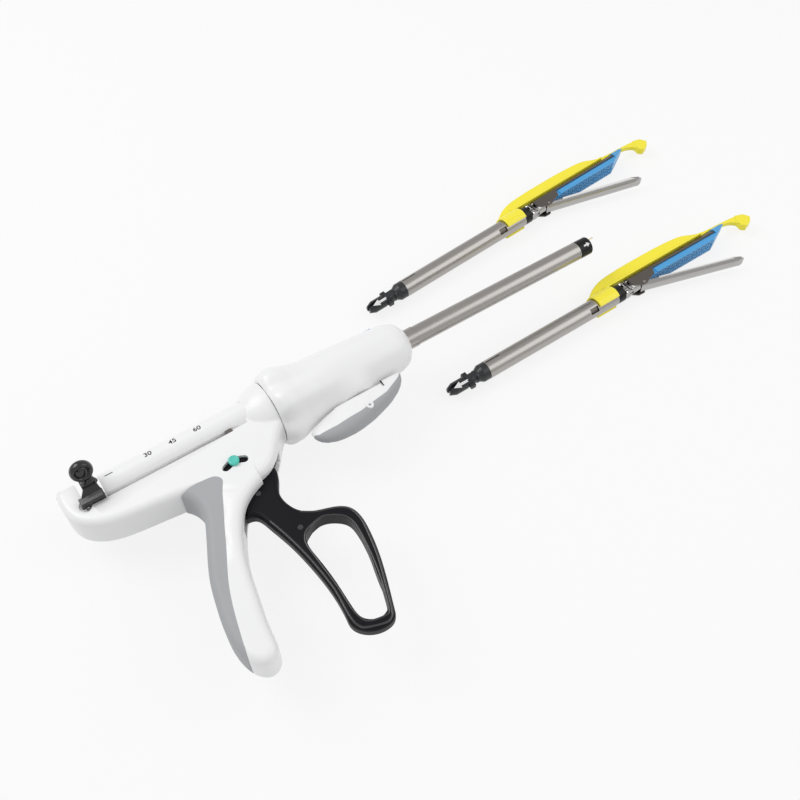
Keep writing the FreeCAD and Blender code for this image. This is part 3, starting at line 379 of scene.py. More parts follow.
class Palette:
    """Every finish of the object, each made once."""

    WHITE = Finish("white_moulding", (0.9, 0.9, 0.905), 0.34, Texture.MOULDED, coat=0.1, mottle=0.015)
    GREY = Finish("grey_soft_grip", (0.4, 0.41, 0.425), 0.55, Texture.SPARKED, mottle=0.06, specular=0.4)
    TRIGGER = Finish("black_trigger", (0.0085, 0.0085, 0.0105), 0.4, Texture.SPARKED, mottle=0.2, specular=0.14)
    # Same black plastic as the trigger, but a lighter colour: painted sheen that brightens the rims' highlight
    # lines, besides their glossier finish.
    RIM_SHEEN = Finish("black_rim_painted_sheen", (0.03, 0.03, 0.033), 0.2, Texture.MOULDED, coat=0.6, mottle=0.1)
    KNOB = Finish("black_knob", (0.012, 0.012, 0.013), 0.2, Texture.MOULDED, coat=0.3, mottle=0.15)
    TEAL = Finish("teal_slider", (0.09, 0.6, 0.5), 0.3, Texture.MOULDED, coat=0.2)
    UNLOAD = Finish("blue_slider", (0.16, 0.36, 0.66), 0.32, Texture.MOULDED, coat=0.2)
    SHAFT = Finish("turned_shaft_steel", (0.43, 0.41, 0.39), 0.3, Texture.TURNED, metallic=1.0, mottle=0.12)
    CAP = Finish("black_cap", (0.009, 0.009, 0.01), 0.3, Texture.MOULDED, mottle=0.15, specular=0.25)
    BRASS = Finish("contact_brass", (0.72, 0.6, 0.36), 0.28, Texture.GROUND, metallic=1.0)
    WORKS = Finish("works_steel", (0.42, 0.41, 0.4), 0.34, Texture.BRUSHED, metallic=1.0, mottle=0.12)
    ANVIL = Finish("polished_jaw_steel", (0.46, 0.45, 0.44), 0.2, Texture.BRUSHED, metallic=1.0, mottle=0.12)
    CHANNEL = Finish("dull_channel_steel", (0.17, 0.152, 0.138), 0.42, Texture.BRUSHED, metallic=1.0,
                     mottle=0.15)
    COUPLING = Finish("dark_coupling", (0.03, 0.031, 0.034), 0.3, Texture.MOULDED, mottle=0.2, specular=0.4)
    BLUE = Finish("blue_cartridge", (0.07, 0.36, 0.72), 0.36, Texture.MOULDED, coat=0.1)
    YELLOW = Finish("yellow_wedge", (0.98, 0.86, 0.04), 0.34, Texture.MOULDED, coat=0.15, mottle=0.03)
    INK = Finish("dark_ink", (0.012, 0.012, 0.014), 0.6, Texture.PLAIN, specular=0.1)
    PALE_INK = Finish("white_ink", (0.85, 0.85, 0.85), 0.55, Texture.PLAIN)

    def __init__(self) -> None:
        """Starts with no material made."""
        self._made: dict[str, bpy.types.Material] = {}

    def get(self, finish: Finish) -> bpy.types.Material:
        """The material of a finish, made the first time it is asked for."""
        if finish.name not in self._made:
            self._made[finish.name] = finish.build()
        return self._made[finish.name]

    def turned(self, finish: Finish, turn: float) -> bpy.types.Material:
        """The material of a finish whose lines follow a piece that lies at an angle.

        Args:
            finish: the finish.
            turn: the piece's angle about Z in degrees.

        Returns:
            The material.
        """
        return self.get(replace(finish, name="%s_%d" % (finish.name, round(turn * 10)), turn=turn))


@dataclass
class SubAssembly:
    """A group of pieces that is dressed together."""

    frame: dict
    palette: Palette

    def dress(self, node: str, material: bpy.types.Material) -> None:
        """Gives a solid its material.

        Args:
            node: the solid's name.
            material: what it is made of.
        """
        solid = self.frame["nodes"][node]
        solid.data.materials.clear()
        solid.data.materials.append(material)
        LOG.info("dressed %s in %s", node, material.name)

    def add(self, name: str, mesh: bpy.types.Mesh, material: bpy.types.Material, body: str,
            slot: str, stands_for: Sequence[str] = ()) -> bpy.types.Object:
        """Adds a finished piece that moves with a body.

        Args:
            name: the piece's name.
            mesh: its mesh, with its place in its points.
            material: what it is made of.
            body: the body that carries it.
            slot: the record's slot that it takes its finish from; not used.
            stands_for: the solids that it is shown in place of.

        Returns:
            The new object.
        """
        mesh.materials.clear()
        mesh.materials.append(material)
        piece = bpy.data.objects.new(name, mesh)
        bpy.context.scene.collection.objects.link(piece)
        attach(piece, body)
        if stands_for:
            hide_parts(*stands_for)
        LOG.info("made %s on %s", name, body)
        return piece


def rounded_path(knots: Sequence[tuple[float, float]], steps: int, closed: bool = False) -> list[Vector]:
    """Points along a smooth curve through given knots.

    Args:
        knots: the points that the curve passes through.
        steps: points for each stretch between two knots.
        closed: whether the curve returns to its start.

    Returns:
        The points, in the plane z = 0.
    """
    count = len(knots)
    stretches = count if closed else count - 1

    def knot(i: int) -> Vector:
        """One knot, past the ends too."""
        place = knots[i % count] if closed else knots[min(max(i, 0), count - 1)]
        return Vector((place[0], place[1], 0.0))

    path = []
    for i in range(stretches):
        a, b, c, d = knot(i - 1), knot(i), knot(i + 1), knot(i + 2)
        for step in range(steps):
            t = step / steps
            path.append(0.5 * (2 * b + (c - a) * t + (2 * a - 5 * b + 4 * c - d) * t ** 2
                               + (3 * b - a - 3 * c + d) * t ** 3))
    if not closed:
        path.append(knot(count - 1))
    return path


def between(x: float, knots: Sequence[tuple[float, float]]) -> float:
    """The value at x of a broken line through given knots, level past both ends.

    Args:
        x: where to read the value.
        knots: places and values, in order of place.

    Returns:
        The value.
    """
    if x <= knots[0][0]:
        return knots[0][1]
    for (x0, y0), (x1, y1) in zip(knots, knots[1:]):
        if x <= x1:
            return y0 + (y1 - y0) * (x - x0) / (x1 - x0)
    return knots[-1][1]


def smoothed(x: float, knots: Sequence[tuple[float, float]], reach: float) -> float:
    """The mean of a broken line over a short reach each side, which rounds its corners."""
    samples = 9
    return sum(between(x + reach * (i / (samples - 1) - 0.5), knots) for i in range(samples)) / samples


def inset(path: Sequence[Vector], depth: float, closed: bool = False) -> list[Vector]:
    """A path moved sideways, to the left of its run.

    Args:
        path: the path's points in the plane z = 0.
        depth: how far it moves.
        closed: whether the path returns to its start.

    Returns:
        The moved points.
    """
    moved = []
    count = len(path)
    for i, point in enumerate(path):
        before = path[(i - 1) % count] if closed else path[max(i - 1, 0)]
        after = path[(i + 1) % count] if closed else path[min(i + 1, count - 1)]
        run = (after - before).normalized()
        moved.append(point + Vector((-run.y, run.x, 0.0)) * depth)
    return moved


def loft(rings: Sequence[Sequence[Vector]], name: str, capped: bool = True) -> bpy.types.Mesh:
    """A closed skin over a row of rings with as many points each.

    Args:
        rings: the rings, in order.
        name: the mesh's name.
        capped: whether the first and last ring are closed by a face.

    Returns:
        The mesh, with its faces outwards.
    """
    work = bmesh.new()
    rows = [[work.verts.new(point) for point in ring] for ring in rings]
    count = len(rows[0])
    for low, high in zip(rows, rows[1:]):
        for i in range(count):
            j = (i + 1) % count
            work.faces.new((low[i], low[j], high[j], high[i]))
    if capped:
        work.faces.new(list(reversed(rows[0])))
        work.faces.new(rows[-1])
    bmesh.ops.remove_doubles(work, verts=work.verts, dist=1e-6)
    bmesh.ops.recalc_face_normals(work, faces=work.faces)
    mesh = bpy.data.meshes.new(name)
    work.to_mesh(mesh)
    work.free()
    return mesh


def lathe(profile: Sequence[tuple[float, float]], name: str, count: int = 64) -> bpy.types.Mesh:
    """A solid of revolution about Z.

    Args:
        profile: radius and height of each station; a ring's profile ends where it starts.
        name: the mesh's name.
        count: facets round it.

    Returns:
        The mesh.
    """
    rings = []
    for radius, height in profile:
        safe = max(radius, 1e-6)
        rings.append([Vector((safe * math.cos(TURN * i / count), safe * math.sin(TURN * i / count), height))
                      for i in range(count)])
    return loft(rings, name, profile[0] != profile[-1])


def along_x(mesh: bpy.types.Mesh, place: Sequence[float]) -> None:
    """Turns a lathed mesh from Z to the shaft's axis and moves it."""
    mesh.transform(Matrix.Translation(place) @ Matrix.Rotation(math.pi / 2, 4, "Y"))


def prism(outline: Sequence[Vector], low: float, high: float, name: str) -> bpy.types.Mesh:
    """A flat-sided solid over an outline in the plane z = 0."""
    return loft([[Vector((p.x, p.y, z)) for p in outline] for z in (low, high)], name)


def block(low: Sequence[float], high: Sequence[float], name: str) -> bpy.types.Mesh:
    """A box between two corners."""
    corners = [Vector((low[0], low[1], 0)), Vector((high[0], low[1], 0)), Vector((high[0], high[1], 0)),
               Vector((low[0], high[1], 0))]
    return prism(corners, low[2], high[2], name)


def joined(meshes: Sequence[bpy.types.Mesh], name: str) -> bpy.types.Mesh:
    """Several meshes as one."""
    work = bmesh.new()
    for mesh in meshes:
        work.from_mesh(mesh)
    mesh = bpy.data.meshes.new(name)
    work.to_mesh(mesh)
    work.free()
    return mesh


def evaluated(holder: bpy.types.Object) -> bpy.types.Mesh:
    """The mesh of an object with its modifiers run, without the object."""
    if holder.name not in bpy.context.scene.collection.objects:
        bpy.context.scene.collection.objects.link(holder)
    bpy.context.view_layer.update()
    graph = bpy.context.evaluated_depsgraph_get()
    mesh = bpy.data.meshes.new_from_object(holder.evaluated_get(graph), depsgraph=graph)
    mesh.name = holder.name
    bpy.data.objects.remove(holder)
    return mesh


def moulded(meshes: Sequence[bpy.types.Mesh], name: str, grain: float, passes: int = 4) -> bpy.types.Mesh:
    """Several overlapping solids run together as one moulding with soft inner corners.

    Args:
        meshes: the solids.
        name: the result's name.
        grain: size of the facets in metres.
        passes: rounds of smoothing.

    Returns:
        The mesh.
    """
    holder = bpy.data.objects.new(name, joined(meshes, name))
    fused = holder.modifiers.new("fused", "REMESH")
    fused.mode = "VOXEL"
    fused.voxel_size = grain
    fused.use_smooth_shade = True
    soft = holder.modifiers.new("soft", "SMOOTH")
    soft.factor = 0.5
    soft.iterations = passes
    return evaluated(holder)


def smooth_shaded(mesh: bpy.types.Mesh, degrees: float = 35.0) -> bpy.types.Mesh:
    """Smooth shading across edges flatter than an angle."""
    mesh.polygons.foreach_set("use_smooth", [True] * len(mesh.polygons))
    mesh.set_sharp_from_angle(angle=math.radians(degrees))
    return mesh


def lettering(text: str, height: float, thick: float) -> bpy.types.Mesh:
    """Upright figures as a thin mesh, centred on the origin.

    Args:
        text: the figures.
        height: their size in metres.
        thick: how far they stand up in metres.

    Returns:
        The mesh.
    """
    curve = bpy.data.curves.new("figures_" + text, "FONT")
    curve.body = text
    curve.size = height
    curve.extrude = thick / 2.0
    curve.offset = height * 0.014
    curve.align_x = "CENTER"
    curve.align_y = "CENTER"
    return evaluated(bpy.data.objects.new("figures_" + text, curve))


class Pattern(NodeTree):
    """A Geometry Nodes tree that follows a path or repeats an item."""

    FACETS = 10

    def __init__(self, name: str, sizes: dict[str, float]) -> None:
        """Starts a tree with named sizes.

        Args:
            name: the tree's name.
            sizes: its number inputs and their values.
        """
        super().__init__(bpy.data.node_groups.new(name, "GeometryNodeTree"))
        self.sizes = sizes
        self.sockets = {}
        face = self.tree.interface
        face.new_socket("Geometry", in_out="INPUT", socket_type="NodeSocketGeometry")
        for label, value in sizes.items():
            socket = face.new_socket(label, in_out="INPUT", socket_type="NodeSocketFloat")
            socket.default_value = value
            self.sockets[label] = socket.identifier
        face.new_socket("Geometry", in_out="OUTPUT", socket_type="NodeSocketGeometry")
        self.start = self.tree.nodes.new("NodeGroupInput")
        self.end = self.tree.nodes.new("NodeGroupOutput")

    def close(self, geometry: bpy.types.NodeSocket, material: bpy.types.Material) -> None:
        """Ends the tree in real geometry with a material."""
        real = self.node("GeometryNodeRealizeInstances", None, {0: geometry})
        dressed = self.node("GeometryNodeSetMaterial", None,
                            {"Geometry": real.outputs[0], "Material": material})
        self.tree.links.new(dressed.outputs[0], self.end.inputs[0])

    def sweep(self, line: bpy.types.NodeSocket, radius: bpy.types.NodeSocket,
              material: bpy.types.Material) -> None:
        """Ends the tree in a round bar along a curve.

        Args:
            line: the curve.
            radius: the bar's radius.
            material: its finish.
        """
        section = self.node("GeometryNodeCurvePrimitiveCircle", {"mode": "RADIUS"},
                            {"Resolution": self.FACETS, "Radius": radius})
        swept = self.node("GeometryNodeCurveToMesh", None,
                          {"Curve": line, "Profile Curve": section.outputs[0], "Fill Caps": True})
        soft = self.node("GeometryNodeSetShadeSmooth", None, {"Geometry": swept.outputs[0]})
        self.close(soft.outputs[0], material)

    def repeat(self, item: bpy.types.NodeSocket, material: bpy.types.Material) -> None:
        """Ends the tree in a copy of an item at each point of the mesh.

        Args:
            item: the item's geometry.
            material: its finish.
        """
        spots = self.node("GeometryNodeMeshToPoints", None, {"Mesh": self.start.outputs["Geometry"]})
        copies = self.node("GeometryNodeInstanceOnPoints", None, {"Points": spots.outputs[0], "Instance": item})
        self.close(copies.outputs[0], material)

    def run(self, base: bpy.types.Mesh, name: str) -> bpy.types.Mesh:
        """Runs the tree over a mesh.

        Args:
            base: the path's edges or the places' points.
            name: the result's name.

        Returns:
            The resulting mesh.
        """
        holder = bpy.data.objects.new(name, base)
        step = holder.modifiers.new("pattern", "NODES")
        step.node_group = self.tree
        for label, value in self.sizes.items():
            step[self.sockets[label]] = value
        return evaluated(holder)


def wire_mesh(path: Sequence[Vector], closed: bool, name: str) -> bpy.types.Mesh:
    """A mesh of edges along a path."""
    mesh = bpy.data.meshes.new(name)
    count = len(path)
    edges = [(i, (i + 1) % count) for i in range(count if closed else count - 1)]
    mesh.from_pydata([tuple(p) for p in path], edges, [])
    return mesh


def bead(path: Sequence[Vector], closed: bool, radius: float, name: str,
         material: bpy.types.Material) -> bpy.types.Mesh:
    """A round bead along a path.

    Args:
        path: the bead's middle line.
        closed: whether it returns to its start.
        radius: its radius in metres.
        name: the mesh's name.
        material: its finish.

    Returns:
        The mesh.
    """
    pattern = Pattern("bead", {"Radius": radius})
    line = pattern.node("GeometryNodeMeshToCurve", None, {"Mesh": pattern.start.outputs["Geometry"]})
    pattern.sweep(line.outputs[0], pattern.start.outputs["Radius"], material)
    return pattern.run(wire_mesh(path, closed, name), name)


def studs(places: Sequence[Vector], radius: float, depth: float, name: str,
          material: bpy.types.Material) -> bpy.types.Mesh:
    """The same low round stud at each of several places, standing along Z.

    Args:
        places: the middles of the studs.
        radius: their radius in metres.
        depth: their height in metres.
        name: the mesh's name.
        material: their finish.

    Returns:
        The mesh.
    """
    pattern = Pattern("studs", {"Radius": radius, "Depth": depth})
    given = pattern.start.outputs
    item = pattern.node("GeometryNodeMeshCylinder", None,
                        {"Vertices": 28, "Radius": given["Radius"], "Depth": given["Depth"]})
    pattern.repeat(item.outputs[0], material)
    return pattern.run(wire_mesh(places, False, name), name)


def ribs(places: Sequence[Vector], size: Sequence[float], name: str,
         material: bpy.types.Material) -> bpy.types.Mesh:
    """The same small bar at each of several places.

    Args:
        places: the middles of the bars.
        size: a bar's length along X, Y and Z in metres.
        name: the mesh's name.
        material: their finish.

    Returns:
        The mesh.
    """
    sizes = {"Length": size[0], "Width": size[1], "Height": size[2]}
    pattern = Pattern("ribs", sizes)
    triple = pattern.node("ShaderNodeCombineXYZ", None,
                          {i: pattern.start.outputs[label] for i, label in enumerate(sizes)})
    item = pattern.node("GeometryNodeMeshCube", None, {"Size": triple.outputs[0]})
    pattern.repeat(item.outputs[0], material)
    return pattern.run(wire_mesh(places, False, name), name)


def coil(radius: float, wire: float, turns: float, length: float, name: str,
         material: bpy.types.Material) -> bpy.types.Mesh:
    """A helical spring standing on the origin along Z.

    Args:
        radius: the coil's middle radius in metres.
        wire: the wire's radius in metres.
        turns: how many turns it has.
        length: its length in metres.
        name: the mesh's name.
        material: its finish.

    Returns:
        The mesh.
    """
    sizes = {"Radius": radius, "Wire": wire, "Turns": turns, "Length": length}
    pattern = Pattern("coil", sizes)
    given = pattern.start.outputs
    line = pattern.node("GeometryNodeCurveSpiral", None,
                        {"Resolution": 40, "Rotations": given["Turns"], "Start Radius": given["Radius"],
                         "End Radius": given["Radius"], "Height": given["Length"]})
    pattern.sweep(line.outputs[0], given["Wire"], material)
    return pattern.run(wire_mesh([Vector(), Vector((0, 0, length))], False, name), name)


def plate(outline: Sequence[tuple[float, float]], thick: float, name: str) -> bpy.types.Mesh:
    """A thin flat plate from an outline.

    Args:
        outline: its corners in metres, anticlockwise.
        thick: its thickness in metres.
        name: the mesh's name.

    Returns:
        The mesh.
    """
    work = bmesh.new()
    bottom = [work.verts.new((x, y, 0.0)) for x, y in outline]
    top = [work.verts.new((x, y, thick)) for x, y in outline]
    work.faces.new(list(reversed(bottom)))
    work.faces.new(top)
    count = len(outline)
    for i in range(count):
        work.faces.new((bottom[i], bottom[(i + 1) % count], top[(i + 1) % count], top[i]))
    mesh = bpy.data.meshes.new(name)
    work.to_mesh(mesh)
    work.free()
    return mesh


@dataclass
class Handle(SubAssembly):
    """Housing shells, grip pads, trigger, safety slider, rack and return knobs."""

    rail_y: float = 2.0 * MM
    rail_z: float = 6.5 * MM
    rail_r: float = 8.0 * MM
    side: float = 12.0 * MM
    mark_height: float = 4.6 * MM
    mark_angle: float = 12.0
    marks: dict[str, float] = field(default_factory=lambda: {"30": -174.2 * MM, "45": -159.3 * MM,
                                                             "60": -144.2 * MM})
    pivot: tuple[float, float] = (-136.7 * MM, -36.2 * MM)
    slot_y: float = -6.1 * MM
    slot_half: float = 1.4 * MM
    slot_rear: float = -217.5 * MM
    slot_front: float = -127.5 * MM
    track_radius: float = 10.7 * MM
    track_width: float = 4.6 * MM
    track_sweep: float = 62.0
    trigger_half: float = 4.5 * MM
    rear_start: float = -205.0 * MM
    rear_share: float = 0.86
    stop_length: float = 3.9 * MM
    stop_levels: tuple[float, float] = (10.4 * MM, 11.4 * MM)
    rest_radius: float = 4.0 * MM
    rim_radius: float = 0.6 * MM
    ink: float = 0.02 * MM
    ink_gap: float = 0.025 * MM
    dash_x: float = -197.2 * MM
    dash: tuple[float, float] = (2.3 * MM, 0.28 * MM)

    def build(self) -> None:
        """Dresses the solids, builds the finer pieces over them and prints the marks."""
        palette = self.palette
        finishes = {
            "grip_pad_near": palette.GREY, "grip_pad_far": palette.GREY, "trigger": palette.TRIGGER,
            "trigger_pin": palette.WORKS, "trigger_spring": palette.WORKS, "drive_pawl": palette.WORKS,
            "pawl_pin": palette.WORKS, "firing_rack": palette.WORKS, "firing_rod": palette.WORKS,
            "retract_plate": palette.WORKS,
        }
        for node, finish in finishes.items():
            self.dress(node, palette.get(finish))
        self._shells()
        self._safety()
        self._trigger_trim()
        for side in (1, -1):
            ReturnKnob(self.frame, palette, side).build()
        self._slot_end()
        for text, x in self.marks.items():
            self._print(lettering(text, self.mark_height, self.ink), x, "mark_" + text)
        long, wide = self.dash
        dash = plate([(-long, -wide), (long, -wide), (long, wide), (-long, wide)], self.ink, "pull_dash")
        self._print(dash, self.dash_x, "pull_dash")

    def _track(self, width: float, sweep: float, low: float, high: float, name: str) -> bpy.types.Mesh:
        """A round-ended arc about the trigger's pivot.

        Args:
            width: its width in metres.
            sweep: angle between the middles of its round ends, in degrees.
            low: its lower level in metres.
            high: its upper level in metres.
            name: the mesh's name.

        Returns:
            The mesh.
        """
        half = math.radians(sweep / 2.0)
        middle = math.pi / 2.0
        steps = 20
        outline = []
        for sign in (1, -1):
            radius = self.track_radius + sign * width / 2.0
            for i in range(steps + 1):
                angle = middle - sign * half * (1 - 2 * i / steps)
                outline.append(Vector((radius * math.cos(angle), radius * math.sin(angle), 0)))
            end = middle + sign * half
            centre = Vector((math.cos(end), math.sin(end), 0)) * self.track_radius
            for i in range(1, 10):
                turn = end + (0.0 if sign > 0 else math.pi) + math.pi * i / 10
                outline.append(centre + Vector((math.cos(turn), math.sin(turn), 0)) * (width / 2.0))
        shift = Vector((self.pivot[0], self.pivot[1], 0))
        return prism([point + shift for point in outline], low, high, name)

    def _shells(self) -> None:
        """The two white shells, with the safety track and the slot's round rest cut through them."""
        material = self.palette.get(self.palette.WHITE)
        for node, sign in (("housing_near", 1), ("housing_far", -1)):
            levels = sorted((sign * (self.side - 0.9 * MM), sign * (self.side + 3.0 * MM)))
            rest = lathe([(0.0, levels[0]), (self.rest_radius, levels[0]), (self.rest_radius, levels[1]),
                          (0.0, levels[1])], "rest")
            rest.transform(Matrix.Translation((self.slot_rear + 0.4 * MM, self.slot_y, 0)))
            cutters = [rest]
            if sign > 0:
                cutters.append(self._track(self.track_width, self.track_sweep, 9.2 * MM, 14.0 * MM, "track"))
            shell = self._carved(node, joined(cutters, "cutters"))
            self.add(node.replace("housing", "shell"), shell, material, "handle", "white_plastic", (node,))

    def _carved(self, node: str, cutter: bpy.types.Mesh) -> bpy.types.Mesh:
        """A copy of a solid's mesh with a shape cut out of it.

        Args:
            node: the solid's name.
            cutter: the closed shape to cut away.

        Returns:
            The carved mesh.
        """
        work = bmesh.new()
        work.from_mesh(self.frame["nodes"][node].data)
        bmesh.ops.remove_doubles(work, verts=work.verts, dist=2e-6)
        mesh = bpy.data.meshes.new(node + "_copy")
        work.to_mesh(mesh)
        work.free()
        tool = bpy.data.objects.new("cutter", cutter)
        bpy.context.scene.collection.objects.link(tool)
        holder = bpy.data.objects.new(node + "_carved", mesh)
        cut = holder.modifiers.new("cut", "BOOLEAN")
        cut.operation = "DIFFERENCE"
        cut.solver = "EXACT"
        cut.object = tool
        carved = evaluated(holder)
        for vertex in carved.vertices:
            beyond = self.rear_start - vertex.co.x
            if beyond > 0:
                vertex.co.x = self.rear_start - beyond * self.rear_share
        carved = smooth_shaded(carved, 28.0)
        bpy.data.objects.remove(tool)
        holder = bpy.data.objects.new(node + "_shaded", carved)
        weighted = holder.modifiers.new("weighted", "WEIGHTED_NORMAL")
        weighted.keep_sharp = True
        weighted.weight = 100
        return evaluated(holder)

    def _safety(self) -> None:
        """The dark floor of the safety track and the round button that slides in it."""
        palette = self.palette
        floor = self._track(self.track_width + 3.0 * MM, self.track_sweep + 8.0, 9.0 * MM, 9.75 * MM,
                            "track_floor")
        self.add("track_floor", floor, palette.get(palette.TRIGGER), "handle", "trigger_black",
                 ("safety_plate",))
        profile = [(0.0, 9.8), (1.9, 9.8), (1.9, 11.9), (3.0, 12.15), (3.15, 12.9), (3.05, 13.6), (2.75, 14.05),
                   (2.3, 14.2), (2.1, 14.05), (1.85, 14.0), (0.0, 14.05)]
        button = lathe([(r * MM, z * MM) for r, z in profile], "safety_button", 48)
        button.transform(Matrix.Translation((self.pivot[0], self.pivot[1] + self.track_radius, 0)))
        self.add("safety_button", smooth_shaded(button), palette.get(palette.TEAL), "safety_slider",
                 "slider_teal", ("safety_slider",))

    def _trigger_trim(self) -> None:
        """Raised rims along the trigger's edges and loop, and the round ejector marks on its face, in a black
        lighter than the trigger's as painted sheen.
        """
        palette = self.palette
        # The rims and ejector marks get a black lighter than the trigger's: painted sheen.
        rim_sheen = palette.get(palette.RIM_SHEEN)
        front = [(-119.8, -67.1), (-112.6, -71.8), (-102.9, -75.5),
                 (-96.6, -80.3), (-94.3, -88.3), (-94.9, -96.7), (-98.6, -113.7), (-104.2, -130.5),
                 (-109.0, -143.4), (-112.0, -147.2), (-116.9, -148.2), (-126.9, -144.7), (-130.6, -140.6),
                 (-131.6, -133.5), (-130.4, -116.4), (-131.9, -96.7), (-134.8, -79.8), (-138.6, -65.0)]
        loop = [(-121.2, -79.8), (-112.6, -78.4), (-105.6, -81.9), (-101.7, -86.3), (-100.6, -93.8),
                (-102.9, -110.7), (-107.0, -127.5), (-111.9, -141.0), (-115.0, -142.6), (-122.0, -141.0),
                (-125.0, -138.0), (-126.3, -130.5), (-126.0, -116.4), (-126.9, -96.7), (-127.0, -87.0),
                (-125.0, -82.3)]
        outer = inset(rounded_path([(x * MM, y * MM) for x, y in front], 10), -1.7 * MM)
        inner = inset(rounded_path([(x * MM, y * MM) for x, y in loop], 10, True), 0.7 * MM, True)
        spots = [Vector((-134.1 * MM, -46.4 * MM, 0)), Vector((-125.4 * MM, -76.9 * MM, 0))]
        for side, label in ((1, "near"), (-1, "far")):
            level = Vector((0, 0, side * (self.trigger_half - 0.3 * MM)))
            rim = bead([p + level for p in outer], False, self.rim_radius, "trigger_rim_" + label, rim_sheen)
            self.add("trigger_rim_" + label, rim, rim_sheen, "trigger", "trigger_black")
            edge = bead([p + level for p in inner], True, self.rim_radius, "trigger_loop_rim_" + label, rim_sheen)
            self.add("trigger_loop_rim_" + label, edge, rim_sheen, "trigger", "trigger_black")
            face = Vector((0, 0, side * self.trigger_half))
            marks = studs([p + face for p in spots], 1.5 * MM, 0.3 * MM, "ejector_marks_" + label, rim_sheen)
            self.add("ejector_marks_" + label, smooth_shaded(marks), rim_sheen, "trigger", "trigger_black")

    def _slot_end(self) -> None:
        """The dull stop at the front end of the slot on each side."""
        palette = self.palette
        for side, label in ((1, "near"), (-1, "far")):
            levels = sorted(side * level for level in self.stop_levels)
            stop = block((self.slot_front - self.stop_length, self.slot_y - self.slot_half, levels[0]),
                         (self.slot_front - 0.1 * MM, self.slot_y + self.slot_half, levels[1]),
                         "slot_stop_" + label)
            self.add("slot_stop_" + label, stop, palette.get(palette.CHANNEL), "handle", "knob_black")

    def _print(self, mesh: bpy.types.Mesh, x: float, name: str) -> None:
        """Lays a flat print on the near rail.

        Args:
            mesh: the print, flat and centred on the origin.
            x: its place along the rail in metres.
            name: the piece's name.
        """
        angle = math.radians(self.mark_angle)
        for vertex in mesh.vertices:
            bend = angle + vertex.co.y / self.rail_r
            lift = self.rail_r + self.ink_gap + max(0.0, vertex.co.z)
            vertex.co = Vector((x + vertex.co.x, self.rail_y + lift * math.sin(bend),
                                self.rail_z + lift * math.cos(bend)))
        self.add(name, mesh, self.palette.get(self.palette.INK), "handle", "trigger_black")


